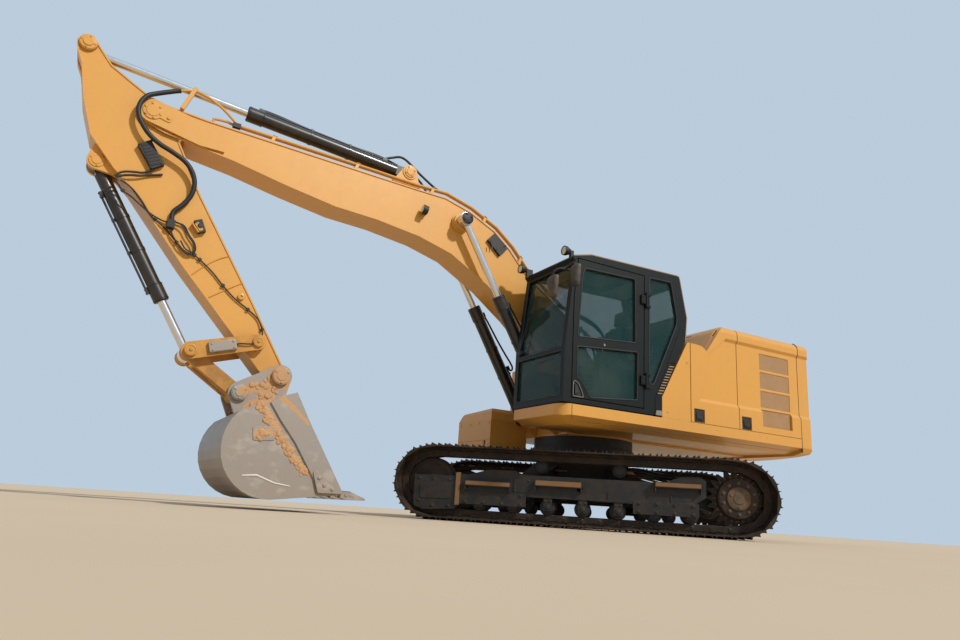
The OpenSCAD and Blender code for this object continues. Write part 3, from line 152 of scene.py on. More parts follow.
class Graph:
    """A material's node tree, written with short calls."""

    def __init__(self, name, preview):
        self.mat = bpy.data.materials.new(name)
        self.mat.use_nodes = True
        self.mat.diffuse_color = (*linear(preview), 1)
        self.tree = self.mat.node_tree
        self.bsdf = self.tree.nodes["Principled BSDF"]
        self.place = self.node("ShaderNodeTexCoord").outputs["Object"]
        self.normal = self.node("ShaderNodeNewGeometry").outputs["Normal"]

    def node(self, kind, inputs={}, **given):
        n = self.tree.nodes.new(kind)
        for key, value in given.items():
            setattr(n, key, value)
        self.put(n, inputs)
        return n

    def put(self, node, inputs):
        """Sets inputs to values, or joins them to other nodes."""
        for key, value in inputs.items():
            if isinstance(value, bpy.types.NodeSocket):
                self.tree.links.new(value, node.inputs[key])
            else:
                node.inputs[key].default_value = value

    def noise(self, scale, detail=3, rough=.55, stretch=None):
        place = self.place
        if stretch:
            place = self.node("ShaderNodeMapping", {"Vector": place, "Scale": stretch}).outputs[0]
        return self.node("ShaderNodeTexNoise", {"Vector": place, "Scale": scale, "Detail": detail,
                                                "Roughness": rough}).outputs["Fac"]

    def range(self, *values):
        """A value, taken from low and high to another low and high, which are 0 and 1 unless given."""
        return self.node("ShaderNodeMapRange", dict(enumerate(values + (0, 1)[len(values) - 3:]))).outputs[0]

    def math(self, op, *values):
        return reduce(lambda a, b: self.node("ShaderNodeMath", {0: a, 1: b}, operation=op).outputs[0], values)

    def add(self, *values):
        return self.math("ADD", *values)

    def times(self, *values):
        return self.math("MULTIPLY", *values)

    def mix(self, factor, a, b):
        a, b = ((*v, 1) if isinstance(v, tuple) else v for v in (a, b))
        return self.node("ShaderNodeMix", {0: factor, 6: a, 7: b}, data_type="RGBA").outputs[2]

    def split(self, what):
        return self.node("ShaderNodeSeparateXYZ", {0: what}).outputs

    def near(self, a, b, reach):
        """1 on the line from a to b in the side view (x and z), falling to 0 at a distance of reach."""
        x, _, z = self.split(self.place)
        dx, dz = b[0] - a[0], b[1] - a[1]
        long2 = dx * dx + dz * dz
        px, pz = self.math("SUBTRACT", x, a[0]), self.math("SUBTRACT", z, a[1])
        t = self.range(self.add(self.times(px, dx / long2), self.times(pz, dz / long2)), 0, 1)
        ex, ez = self.math("SUBTRACT", px, self.times(t, dx)), self.math("SUBTRACT", pz, self.times(t, dz))
        away = self.node("ShaderNodeMath", {0: self.add(self.times(ex, ex), self.times(ez, ez))},
                         operation="SQRT")
        return self.range(away.outputs[0], 0, reach, 1, 0)


def weathered(name, base, rough, dust, top, grain, low=0, low_z=(1.6, .2), metal=0, vary=.06,
              dust_rgb=DUST, grain_scale=220, bevel=.006, coat=0, patch=9, spec=.5, streak=0, wear=0,
              wear_rgb=(.45, .42, .38), scratches=0, mud=()):
    """Paint or steel: slow colour change, worn edges, dust in patches, on tops and low down, and a grain."""
    g = Graph(name, base)
    base = linear(base)
    mottle = g.noise(14, 4, .6)
    colour = g.mix(g.add(g.times(g.noise(.9), .7), g.times(mottle, .3)), shade(base, 1 - vary),
                   shade(base, 1 + vary))
    broad = g.range(g.noise(1.7, 4, .6), .35, .7)
    amount = g.times(g.range(g.noise(patch, 6, .68), .42, .72), dust)
    if top:
        amount = g.add(amount, g.times(g.range(g.split(g.normal)[2], .35, .95), broad, top))
    if low:
        amount = g.add(amount, g.times(g.range(g.split(g.place)[2], *low_z), g.add(broad, .35), low))
    if streak:
        drips = g.range(g.noise(1, 4, .6, stretch=(14, 14, .9)), .52, .75)
        amount = g.add(amount, g.times(drips, streak))
    amount = g.range(amount, 0, 1)
    fine = g.noise(grain_scale, 4, .6)
    soft = g.node("ShaderNodeBevel", {"Radius": bevel}, samples=4).outputs[0] if bevel else None
    if scratches:
        marks = g.range(g.noise(6, 3, .5, stretch=(1, 26, 1.6)), .56, .66)
        colour = g.mix(g.times(marks, scratches), colour, shade(base, 1.7))
    if wear and bevel:
        dot = g.node("ShaderNodeVectorMath", {0: soft, 1: g.normal}, operation="DOT_PRODUCT").outputs["Value"]
        edge = g.times(g.range(dot, .995, .93), g.range(g.noise(30, 4, .7), .48, .6), wear)
        colour = g.mix(edge, colour, linear(wear_rgb))
    dust_lin = linear(dust_rgb)
    colour = g.mix(amount, colour, g.mix(fine, shade(dust_lin, .75), shade(dust_lin, 1.2)))
    if mud:
        lumps = g.times(g.math("SUBTRACT", g.noise(22, 5, .65), .5), 1.5)
        caked = g.range(g.add(g.math("MAXIMUM", *(g.near(*line) for line in mud)), lumps), .35, .55)
        mud_lin = linear(MUD)
        colour = g.mix(caked, colour, g.mix(fine, shade(mud_lin, .7), tuple(c * 1.25 for c in mud_lin)))
        amount = g.math("MAXIMUM", amount, caked)
    bump = g.node("ShaderNodeBump", {"Strength": grain, "Distance": .002,
                                     "Height": g.add(fine, g.times(amount, g.noise(60, 5, .7)))})
    if soft:
        g.put(bump, {"Normal": soft})
    g.put(g.bsdf, {"Base Color": colour, "Normal": bump.outputs[0], "Specular IOR Level": spec,
                   "Coat Weight": coat, "Coat Roughness": .12, "Metallic": g.range(amount, 0, .6, metal,
                                                                                   0) if metal else 0,
                   "Roughness": g.range(g.add(amount, g.times(mottle, .15)), 0, .9, rough, .88)})
    return g.mat


def bucket_point(x, z):
    """A place from the bucket's pin, in the side view of the row frame."""
    return at_bucket(x, 0, z).xz


BUCKET_MUD = [(bucket_point(*a), bucket_point(*b), reach) for a, b, reach in (
    ((.24, -.35), (.14, -.47), .035), ((.15, -.44), (0, -.65), .035), ((0, -.65), (-.16, -.84), .03),
    ((-.16, -.84), (-.28, -.95), .02), ((.12, -.6), (.25, -.63), .06), ((.02, .02), (.1, -.16), .14),
    ((.1, -.1), (.36, -.2), .09), ((0, 0), (-.1, -.12), .09), ((.1, -.2), (.26, -.36), .09),
    ((.1, -.26), (-.1, -.4), .045), ((-.1, -.4), (-.2, -.49), .03))]

# Name, colour, roughness, dust, dust on tops, grain
mat_paint = weathered("yellow_paint", YELLOW, .36, .07, .22, .04, low=.1, low_z=(1.6, 1), vary=.04,
                      coat=.25, streak=.05, wear=.35)
mat_arm = weathered("yellow_arm", YELLOW, .4, .08, .12, .05, low=.75, low_z=(1.75, .9), vary=.04,
                    coat=.2, streak=.05, wear=.4)
mat_link = weathered("dusty_links", YELLOW, .5, .45, .8, .2, low=.9, low_z=(1.9, .7), wear=.6)
mat_yellow_bolt = weathered("painted_bolts", (.86, .62, .28), .4, .2, .3, .05, bevel=.002)
mat_mesh = weathered("dusty_mesh", (.8, .65, .49), .7, .2, .2, .3, vary=.1)
mat_track = weathered("track_steel", (.19, .155, .13), .55, .35, .25, .3, metal=.5,
                      dust_rgb=(.4, .29, .19), wear=.7, wear_rgb=(.5, .45, .4), patch=5)
mat_cover = weathered("dusty_cover", (.3, .28, .25), .65, .6, .4, .3, vary=.15)
mat_under = weathered("undercarriage_paint", (.085, .09, .09), .55, .28, .55, .2,
                      dust_rgb=(.38, .29, .2), wear=.4)
mat_dust_tan = weathered("dusty_plate", (.5, .38, .26), .8, .4, .5, .4, vary=.15)
mat_cylinder = weathered("cylinder_paint", (.085, .095, .095), .3, .1, .12, .03, coat=.3)
mat_rod = weathered("rod_chrome", (.88, .88, .88), .13, .04, .05, .01, metal=1, vary=.03)
mat_bolt = weathered("plated_bolts", (.62, .58, .46), .35, .15, .2, .05, metal=.8, bevel=.002)
mat_mirror = weathered("mirror_glass", (.86, .88, .9), .04, .04, 0, 0, metal=1, bevel=0)
mat_cab = weathered("cab_paint", (.03, .062, .062), .42, .02, .25, .04, wear=.1, spec=.25,
                    dust_rgb=(.5, .42, .32))
# Light tan for the cab's roof rims and pillar louvres: a painted highlight on dark edges, with dust patches
# on it
mat_painted_highlight = weathered("painted_highlight_edge", (.62, .52, .42), .6, .3, .3, .1)
mat_roof = weathered("roof_edge", (.42, .37, .31), .55, .4, .6, .1)
mat_plastic = weathered("moulded_plastic", (.085, .092, .092), .5, .08, .2, .35, grain_scale=420,
                        dust_rgb=(.45, .38, .3))
mat_grey = weathered("grey_plastic", (.5, .51, .5), .45, .1, .2, .3, grain_scale=420)
mat_grey_shell = weathered("mirror_shell", (.2, .21, .2), .5, .35, .6, .2)
mat_rubber = weathered("hose_rubber", (.075, .085, .085), .5, .12, .15, .25, bevel=0,
                       dust_rgb=(.4, .33, .26))
mat_bucket = weathered("bucket_steel", (.6, .575, .55), .42, .1, .5, .12, low=.2,
                       low_z=(.45, .05), metal=.35, vary=.1, patch=4, streak=.12, wear=.5,
                       wear_rgb=(.8, .78, .74), scratches=.35, mud=BUCKET_MUD)
mat_worn = weathered("worn_edge", (.88, .85, .82), .35, .05, .1, .05, metal=.2)
mat_mud = weathered("dried_mud", MUD, .9, .4, .3, 1, vary=.2, grain_scale=90, bevel=0)
mat_engine = weathered("engine_paint", (.26, .26, .25), .6, .25, .5, .15)
mat_core = weathered("cooler_core", (.16, .15, .13), .7, .35, .2, .6, grain_scale=300)
mat_seat = weathered("seat_cloth", (.13, .13, .14), .92, .05, .1, .8, grain_scale=700,
                     bevel=0, spec=.2)
mat_lens = weathered("lamp_lens", (.8, .82, .82), .08, .05, .1, .3, metal=.3,
                     grain_scale=160, bevel=0)
mat_red = weathered("red_lens", (.62, .06, .05), .12, .05, .1, .25, grain_scale=160, bevel=0)


def glass(name, tint, alpha):
    """Tinted window: the film of dust on it raises its cover in soft patches."""
    g = Graph(name, tint)
    low = g.times(g.range(g.split(g.place)[2], 2.4, 1.3), .5)
    film = g.range(g.times(g.range(g.noise(2.2, 4, .6), .35, .75), g.add(low, .6)), 0, 1)
    g.put(g.bsdf, {"Base Color": g.mix(g.times(film, .3), linear(tint), linear((.46, .48, .42))), "IOR": 1.5,
                   "Roughness": g.range(film, 0, 1, .01, .06), "Specular IOR Level": .35,
                   "Alpha": g.range(film, 0, 1, alpha, alpha + .1)})
    return g.mat


for mat, names in {
    mat_track: "track_left track_right sprockets idlers",
    mat_under: "carbody track_frame_left track_frame_right bottom_rollers carrier_rollers slew_ring",
    mat_paint: "main_frame left_platform right_platform counterweight engine_bay step_box fuel_tank oil_tank"
               " bay_door_front bay_door_rear bay_door_right hood boom boom_pipes",
    mat_arm: "stick", mat_link: "idler_links power_link",
    mat_cylinder: "boom_barrels stick_barrel bucket_barrel", mat_rod: "boom_rods stick_rod bucket_rod",
    mat_cab: "cab_frame cab_door handrails",
    mat_plastic: "cab_controls mirrors boom_fittings stick_fittings cab_lamps",
    mat_bucket: "bucket bucket_teeth", mat_engine: "engine_block exhaust_pipe", mat_core: "cooling_pack",
    mat_rubber: "stick_hose", mat_seat: "seat",
    glass("window_tint", (.08, .26, .27), .4): "cab_glass cab_door_glass",
}.items():
    for name in names.split():
        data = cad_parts[name].data
        data.materials.clear()
        data.materials.append(mat)

# Making of pieces


def object_of(name, bm, sharp=35):
    """An object from bm's mesh, smooth all over, or but for edges sharper than an angle."""
    if sharp:
        bmesh.ops.recalc_face_normals(bm, faces=bm.faces)
    mesh = bpy.data.meshes.new(name)
    bm.to_mesh(mesh)
    bm.free()
    for f in mesh.polygons:
        f.use_smooth = True
    if sharp:
        mesh.set_sharp_from_angle(angle=radians(sharp))
    return linked(bpy.data.objects.new(name, mesh))


def linked(obj):
    scene.collection.objects.link(obj)
    return obj


def dress(obj, mat, body=None):
    obj.data.materials.append(mat)
    if body:
        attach(obj, body)
    return obj


def skin(bm, rings, hollow=False):
    """Faces between rows of points, closed at both ends, or round into an open ring if hollow."""
    rings = [[bm.verts.new(p) for p in ring] for ring in rings]
    n = max(len(ring) for ring in rings)
    for low, high in zip(rings, rings[1:] + rings[:1] * hollow):
        for k in range(n):
            j = (k + 1) % n
            face = [low[k % len(low)], low[j % len(low)], high[j % len(high)], high[k % len(high)]]
            face = [v for i, v in enumerate(face) if v not in face[:i]]
            if len(face) > 2:
                bm.faces.new(face)
    for ring in () if hollow else (rings[0], rings[-1]):
        if len(ring) > 1:
            bm.faces.new(ring)


def circle(p, a, b, r, sides):
    return [p + (a * cos(q) + b * sin(q)) * r for q in (2 * pi * k / sides for k in range(sides))]


class Piece:
    """Gathers solids, drawn in the axes of one part of the machine, into one piece of the scene."""
    made = []

    def __init__(self, name, mat, bevel=0, on=UPPER, replaces=()):
        self.name, self.mat, self.bevel, self.on, self.replaces = name, mat, bevel, on, replaces
        self.bm = bmesh.new()
        Piece.made.append(self)

    def slab(self, outline, y0, y1):
        """A side outline (x and z) given its width from y0 to y1."""
        skin(self.bm, [[(x, y, z) for x, z in outline] for y in (y0, y1)])

    def box(self, x0, x1, y0, y1, z0, z1, deg=0):
        mx, mz = (x0 + x1) / 2, (z0 + z1) / 2
        corners = [turned(x - mx, z - mz, deg) for x, z in ((x0, z0), (x1, z0), (x1, z1), (x0, z1))]
        self.slab([(mx + x, mz + z) for x, z in corners], y0, y1)

    def rod(self, a, b, r, sides=12, r2=None):
        """A round bar or cone from a to b."""
        a, b = Vector(a), Vector(b)
        way = b - a
        turn = way.to_track_quat("Z", "Y").to_matrix().to_4x4()
        bmesh.ops.create_cone(self.bm, cap_ends=True, segments=sides, radius1=r,
                              radius2=r if r2 is None else r2, depth=way.length,
                              matrix=Matrix.Translation((a + b) / 2) @ turn)

    def bolt(self, p, way, r, h, washer=True):
        p = Vector(p)
        if washer:
            self.rod(p - way * .002, p + way * h * .3, r * 1.45, 14)
        self.rod(p, p + way * h, r, 6)

    def bolt_circle(self, p, way, reach, count, r, h, start=0, washer=True):
        """Bolts round p, on a face that looks along one of the axes."""
        a, b = (Y, Z) if way.x else (X, Z) if way.y else (X, Y)
        for k in range(count):
            q = start + 2 * pi * k / count
            self.bolt(Vector(p) + a * reach * cos(q) + b * reach * sin(q), way, r, h, washer)

    def lathe(self, p, way, profile, sides=32, hollow=False):
        """A turned form: radius and distance along way from p, row by row."""
        p, way = Vector(p), way.normalized()
        a = way.orthogonal().normalized()
        b = way.cross(a)
        skin(self.bm, [circle(p + way * t, a, b, r, sides if r else 1) for r, t in profile], hollow)

    def finish(self):
        body, place = self.on
        for v in self.bm.verts:
            v.co = place(*v.co)
        obj = dress(object_of(self.name, self.bm), self.mat, body)
        if self.bevel:
            mod = obj.modifiers.new("edges", "BEVEL")
            mod.width = self.bevel
            mod.segments = 2
            mod.limit_method = "ANGLE"
            mod.angle_limit = radians(40)
        if self.replaces:
            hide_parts(*self.replaces)


def rounded(points, r, steps=4):
    """An outline with its corners rounded."""
    out = []
    for k, p in enumerate(points):
        p = Vector(p)
        a, b = Vector(points[k - 1]) - p, Vector(points[(k + 1) % len(points)]) - p
        reach = min(r, a.length * .45, b.length * .45)
        start, end = p + a.normalized() * reach, p + b.normalized() * reach
        for t in (i / steps for i in range(steps + 1)):
            out.append(tuple(start * (1 - t) ** 2 + p * 2 * t * (1 - t) + end * t * t))
    return out


def rectangle(x0, x1, z0, z1):
    return [(x0, z0), (x1, z0), (x1, z1), (x0, z1)]


def wires(name, mat, radius, paths, on=UPPER, closed=False, smooth=True, sides=3):
    """Hoses, pipes or beads along the given paths, as one piece."""
    body, place = on
    data = bpy.data.curves.new(name, "CURVE")
    data.dimensions = "3D"
    data.bevel_depth = radius
    data.bevel_resolution = sides
    data.resolution_u = 6
    data.use_fill_caps = not closed
    for path in paths:
        spline = data.splines.new("BEZIER" if smooth else "POLY")
        points = spline.bezier_points if smooth else spline.points
        points.add(len(path) - 1)
        for p, q in zip(points, path):
            if smooth:
                p.co = place(*q)
                p.handle_left_type = p.handle_right_type = "AUTO"
            else:
                p.co = (*place(*q), 1)
        spline.use_cyclic_u = closed
    return dress(linked(bpy.data.objects.new(name, data)), mat, body)


def beads(name, mat, radius, outlines, y, on=UPPER, corner=.03):
    """Seals along side outlines with rounded corners, on a face at y."""
    wires(name, mat, radius, [[(x, y, z) for x, z in rounded(line, corner)] for line in outlines], on,
          closed=True, smooth=False, sides=2)


def smooth_line(points, steps=12):
    """A smooth line through points, as many short steps."""
    pts = [Vector(p) for p in points]
    line = [pts[0]]
    for i in range(len(pts) - 1):
        p0, p1, p2, p3 = pts[max(i - 1, 0)], pts[i], pts[i + 1], pts[min(i + 2, len(pts) - 1)]
        for t in (k / steps for k in range(1, steps + 1)):
            line.append(.5 * ((2 * p1) + (p2 - p0) * t + (2 * p0 - 5 * p1 + 4 * p2 - p3) * t * t
                              + (3 * p1 - p0 - 3 * p2 + p3) * t ** 3))
    return line


def bent_hoses(name, lines, radius, start, end):
    """Curved hoses through row-frame points, as one mesh."""
    bm = bmesh.new()
    for line in lines:
        out, rings = None, []
        for k, p in enumerate(line):
            t = (line[min(k + 1, len(line) - 1)] - line[max(k - 1, 0)]).normalized()
            out = t.orthogonal() if out is None else out - t * out.dot(t)
            out.normalize()
            rings.append(circle(p, out, t.cross(out), radius, 14))
        skin(bm, rings)
    obj = dress(object_of(name, bm), mat_rubber)
    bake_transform(obj)
    return obj


# The big hose from the boom's pipe round to the stick
PIPE_END, PIPE_AIM = (5.6, .352), -42
HOSE_END, HOSE_END_AIM, HOSE_END_Y = (1.087, .297), 34.5, .195
HOSE_OUT_Y = .207
HOSE_R = .024
ahead = turned(1, 0, PIPE_AIM)
hose_points = [on_boom(PIPE_END[0] + d * ahead[0], HOSE_OUT_Y,
                       PIPE_END[1] + d * ahead[1]) for d in (.0003, .05)]
hose_points += [upper(*p) for p in (
    (5.478, .222, 3.908), (5.557, .234, 3.848), (5.603, .243, 3.76), (5.61, .248, 3.656),
    (5.568, .249, 3.554), (5.482, .249, 3.45), (5.373, .249, 3.377), (5.24, .248, 3.325),
    (5.115, .244, 3.262), (5.036, .238, 3.175), (4.998, .228, 3.07), (5.005, .216, 2.952),
    (5.061, .204, 2.839))]
back_off = turned(.09, 0, HOSE_END_AIM)
hose_points += [on_stick(HOSE_END[0] - k * back_off[0], HOSE_END_Y,
                         HOSE_END[1] - k * back_off[1]) for k in (1, 0)]
hose_line = smooth_line(hose_points)
hose = bent_hoses("boom_to_stick_hose", [hose_line], HOSE_R, hose_points[1], hose_points[-2])
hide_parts("stick_hose")

# Undercarriage

WHEEL_BASE = 3.27
PITCH = .19
SHOES = 45
TURN_R = (SHOES * PITCH - 2 * WHEEL_BASE) / (2 * pi)
PLATE_OUT = .066
AXLE_Z = .092 + TURN_R
SPROCKET_X = -WHEEL_BASE / 2
MID_Y = 1.1
HUB_Y = MID_Y + .15
FRAME_Y = MID_Y + .175
ROLLER_X = [-1.15 + k * 2.23 / 6 for k in range(7)]
GUARDS = ((.737, 1.24, .385, .44), (-.025, .48, .42, .485), (-1.257, -.778, .48, .535))


def loop_point(s):
    """A place on the chain's pin line, along the track and up."""
    s %= SHOES * PITCH
    arc = pi * TURN_R
    half = WHEEL_BASE / 2
    if s < WHEEL_BASE:
        return Vector((-half + s, AXLE_Z + TURN_R))
    if WHEEL_BASE + arc <= s < 2 * WHEEL_BASE + arc:
        return Vector((half - (s - WHEEL_BASE - arc), AXLE_Z - TURN_R))
    back = s >= 2 * WHEEL_BASE
    a = pi / 2 - (s - WHEEL_BASE) / TURN_R + WHEEL_BASE / TURN_R * back
    return Vector(((-half if back else half) + TURN_R * cos(a), AXLE_Z + TURN_R * sin(a)))


def capsule(a, b, r, steps=5):
    turn = atan2(b.y - a.y, b.x - a.x)
    return [(end.x + r * cos(q), end.y + r * sin(q)) for end, start in ((b, turn - pi / 2),
                                                                        (a, turn + pi / 2))
            for q in (start + pi * k / steps for k in range(steps + 1))]


for side, on in (("left", LEFT_TRACK), ("right", RIGHT_TRACK)):
    links = Piece(f"chain_links_{side}", mat_track, on=on)
    pads = Piece(f"shoe_bolts_{side}", mat_track, on=on)
    for i in range(SHOES):
        a, b = loop_point(.045 + i * PITCH), loop_point(.045 + (i + 1) * PITCH)
        t = (b - a).normalized()
        n = Vector((-t.y, t.x))
        mid = (a + b) / 2
        for y0, y1 in ((MID_Y + .094, MID_Y + .103), (MID_Y - .103, MID_Y - .094)):
            links.slab(capsule(mid - t * .08, mid + t * .07, .034), y0, y1)
            links.slab([mid + t * p + n * q for p, q in ((-.06, .02), (.06, .02), (.048, .057),
                                                         (-.048, .057))], y0, y1)
        links.rod((a.x, MID_Y - .106, a.y), (a.x, MID_Y + .106, a.y), .019)
        for along in (-.035, .036):
            p = mid + t * along + n * (PLATE_OUT - .001)
            for y in (-.165, -.115, .115, .165):
                pads.bolt((p.x, MID_Y + y, p.y), Vector((n.x, 0, n.y)), .012, .01, washer=False)
        for y in (-.235, .235):
            pads.slab([mid + t * p + n * (PLATE_OUT + q) for p, q in rectangle(-.02, .02, -.016, -.011)],
                      MID_Y + y - .03, MID_Y + y + .03)

    hub = Piece(f"sprocket_cover_{side}", mat_cover, .0015, on)
    hub.lathe((SPROCKET_X, HUB_Y, AXLE_Z), Y, [(.12, -.002), (.12, .01), (.112, .014), (.06, .016),
                                               (.055, .022), (0, .024)])
    hub.lathe((SPROCKET_X, MID_Y + .11, AXLE_Z), Y, [(.204, -.002), (.204, .006), (.194, .01)])
    hub.bolt_circle((SPROCKET_X, HUB_Y, AXLE_Z), Y, .16, 10, .013, .012, start=pi / 10)
    hub.bolt_circle((SPROCKET_X, MID_Y + .024, AXLE_Z), Y, .229, 24, .012, .012)
    for dx, dz in ((-.075, .03), (.075, .03), (0, -.09)):
        hub.bolt((SPROCKET_X + dx, HUB_Y + .01, AXLE_Z + dz), Y, .014, .014)

    idler = Piece(f"idler_faces_{side}", mat_track, .0015, on)
    for s in BOTH:
        idler.lathe((-SPROCKET_X, MID_Y + s * .095, AXLE_Z), s * Y, [
            (.235, -.002), (.235, .004), (.205, .008), (.195, .002), (.12, .002), (.105, .01), (.07, .011)])

    rollers = Piece(f"roller_caps_{side}", mat_under, .001, on)
    for x in ROLLER_X:
        for s in BOTH:
            end_y = MID_Y + s * .1645
            rollers.lathe((x, end_y, .2065), s * Y, [(.03, -.002), (.03, .006), (.022, .01), (0, .01)], 16)
            rollers.lathe((x, MID_Y + s * .125, .2065), s * Y, [(.066, -.002), (.062, .004),
                                                                (.034, .0045)], 24)
            for dx in (-.028, .028):
                rollers.bolt((x + dx, end_y, .268), s * Y, .01, .01)
    for x in (-.42, .42):
        rollers.lathe((x, MID_Y + .105, AXLE_Z + TURN_R - .1005), Y, [(.052, -.002), (.052, .006),
                                                                      (.04, .012), (0, .014)], 24)

    fittings = Piece(f"frame_fittings_{side}", mat_under, .0015, on)
    dusty = Piece(f"dusty_edges_{side}", mat_dust_tan, .001, on)
    for x0, x1, z0, z1 in GUARDS:
        for x in (x0 + .03 + k * (x1 - x0 - .06) / 8 for k in range(9)):
            fittings.box(x - .008, x + .008, FRAME_Y + .006, FRAME_Y + .06, z1 - .001, z1 + .004)
        for x in (x0 + .002, x1 - .014):
            fittings.box(x, x + .012, FRAME_Y - .002, FRAME_Y + .055, z0 - .045, z0 + .002)
        dusty.box(x0 + .01, x1 - .01, FRAME_Y + .0615, FRAME_Y + .0635, z0 + .008, z1 - .006)
    dusty.slab([(1.2955, .174), (1.3465, .171), (1.3465, .518), (1.2955, .52)], FRAME_Y + .0175,
               FRAME_Y + .0195)
    for x0, x1, z0, z1 in ((.57, 1.296, .19, .33), (-1.23, -.56, .195, .33)):
        for k in range(4):
            for z in (z0 + .025, z1 - .025):
                fittings.bolt((x0 + .06 + k * (x1 - x0 - .12) / 3, FRAME_Y + .0035, z), Y, .013, .012)
    fittings.slab(rounded(rectangle(.53, .71, .345, .485), .02), FRAME_Y - .002, FRAME_Y + .006)
    for x, z in rectangle(.545, .695, .36, .47):
        fittings.bolt((x, FRAME_Y + .006, z), Y, .01, .01)
    for x, z in ((1.42, .16), (1.6, .155), (1.75, .2), (1.42, .44), (1.6, .44), (1.76, .44)):
        fittings.bolt((x, FRAME_Y, z), Y, .012, .012)
    fittings.slab(rounded([(1.4, .235), (1.74, .225), (1.75, .395), (1.4, .405)], .03), FRAME_Y - .002,
                  FRAME_Y + .008)
    for x in (-.95, -.3, .3):
        fittings.slab(rectangle(x - .006, x + .006, .335, .4), FRAME_Y - .002, FRAME_Y + .01)

    wires(f"motor_hoses_{side}", mat_rubber, .013, [[(x, y, z + dz) for x, y, z in (
        (-.46, .5, .66), (-.62, .6, .67), (-.85, .68, .63), (-1.1, .735, .58), (-1.32, .785, .53),
        (-1.48, .83, .47))] for dz in (0, .035, -.035)], on)
    motor = Piece(f"motor_cover_{side}", mat_under, .0015, on)
    motor.lathe((SPROCKET_X, MID_Y - .29, AXLE_Z), -Y, [(.14, -.002), (.14, .012), (.115, .02), (.07, .024),
                                                        (0, .025)])
    motor.bolt_circle((SPROCKET_X, MID_Y - .3, AXLE_Z), -Y, .126, 8, .011, .012)

ring = Piece("ring_bolts", mat_under, on=LEFT_TRACK)
ring.bolt_circle((0, 0, .9295), Z, .621, 36, .0075, .01, washer=False)
for s in BOTH:
    for y in (-.42, 0, .42):
        for z in (.7, .56):
            ring.bolt((s * .48, y, z), s * X, .014, .012)

# Engine side: grilles, latches, seams

HALF_W = 1.37
DECK_Z = 1.25
BAY_Z = 2.49
WEIGHT_X = -2.375
GRILLE_X = (-2.205, -1.675)
GRILLE_Z = (1.334, 2.244)
GRILLE_ROWS, PANE_GAP = 4, .028
BARS, CROSS_BARS, BAR_HALF = 49, 18, .0027
FIELD_Y = HALF_W - .025
LATCH_Z = 1.337

core = Piece("grille_backs", mat_core, on=("bay_door_rear", upper))
mesh = Piece("grille_mesh", mat_mesh, on=("bay_door_rear", upper))
pane_h = (GRILLE_Z[1] - GRILLE_Z[0] - (GRILLE_ROWS - 1) * PANE_GAP) / GRILLE_ROWS
x0, x1 = GRILLE_X
for z0 in (GRILLE_Z[0] + row * (pane_h + PANE_GAP) for row in range(GRILLE_ROWS)):
    z1 = z0 + pane_h
    core.slab(rectangle(x0 + .001, x1 - .001, z0 + .001, z1 - .001), FIELD_Y - .0115, FIELD_Y - .0095)
    for x in (x0 + .004 + k * (x1 - x0 - .008) / (BARS - 1) for k in range(BARS)):
        mesh.box(x - BAR_HALF, x + BAR_HALF, FIELD_Y - .0085, FIELD_Y - .0055, z0 + .001, z1 - .001)
    for z in (z0 + .004 + k * (pane_h - .008) / (CROSS_BARS - 1) for k in range(CROSS_BARS)):
        mesh.box(x0 + .001, x1 - .001, FIELD_Y - .008, FIELD_Y - .005, z - BAR_HALF, z + BAR_HALF)
    for x, z in rectangle(x0 + .01, x1 - .01, z0 + .012, z1 - .012):
        mesh.bolt((x, FIELD_Y - .006, z), Y, .0045, .004)

for name, place, x, seal in (
        ("bay_door_front", upper, -.622, [(-1.255, 1.275), (-.505, 1.275), (-.505, 2.155), (-.76, 2.1),
                                          (-1, 2.4), (-1.255, 2.4)]),
        ("bay_door_rear", upper, -1.394, rectangle(-2.36, -1.29, 1.275, 2.4)),
        ("bay_door_right", right_side, -1.082, [(-2.36, 1.275), (-.965, 1.275), (-.965, 2.36), (-1.02, 2.4),
                                                (-2.36, 2.4)])):
    latch = Piece(f"{name}_latch", mat_plastic, .0015, (name, place))
    for outline, corner, y0, y1 in (
            (rectangle(-.078, .078, -.073, .073), .02, .0205, .014),
            ([(-.06, -.05), (.035, -.05), (.045, .048), (-.06, .048)], .012, .016, .006),
            ([(-.052, -.042), (.01, -.042), (.014, -.012), (-.052, -.012)], .008, .008, .001)):
        latch.slab(rounded([(x + dx, LATCH_Z + dz) for dx, dz in outline], corner), HALF_W - y0, HALF_W - y1)
    latch.rod((x + .055, HALF_W - .016, LATCH_Z + .02), (x + .055, HALF_W - .009, LATCH_Z + .02), .011, 16)
    beads(f"{name}_seal", mat_rubber, .006, [seal], HALF_W - .052, (name, place))

bolts = Piece("side_bolts_left", mat_yellow_bolt, .001)
bolts.bolt((-.136, HALF_W, 1.324), Y, .009, .005)
bolts.lathe((-.44, HALF_W, 1.93), Y, [(.02, -.002), (.02, .003), (.013, .005), (.01, .001), (0, .001)], 20)
for x in (-1.62, -1.74, -.9):
    bolts.bolt((x, HALF_W, 1.205), Y, .006, .004)
bolts = Piece("side_bolts_right", mat_yellow_bolt, .001, RIGHT)
for x in (-2.2, -1.75, -1.3, -.85, -.4, .05, .45):
    bolts.bolt((x, HALF_W, 1.105), Y, .011, .007)
for x in (.65, .85, 1.02):
    bolts.bolt((x, HALF_W - .008, .96), Y, .01, .007)
for y in (.5, .75, 1, 1.25):
    for z in (1.21, .94):
        bolts.bolt((1.09, y, z), X, .01, .007)

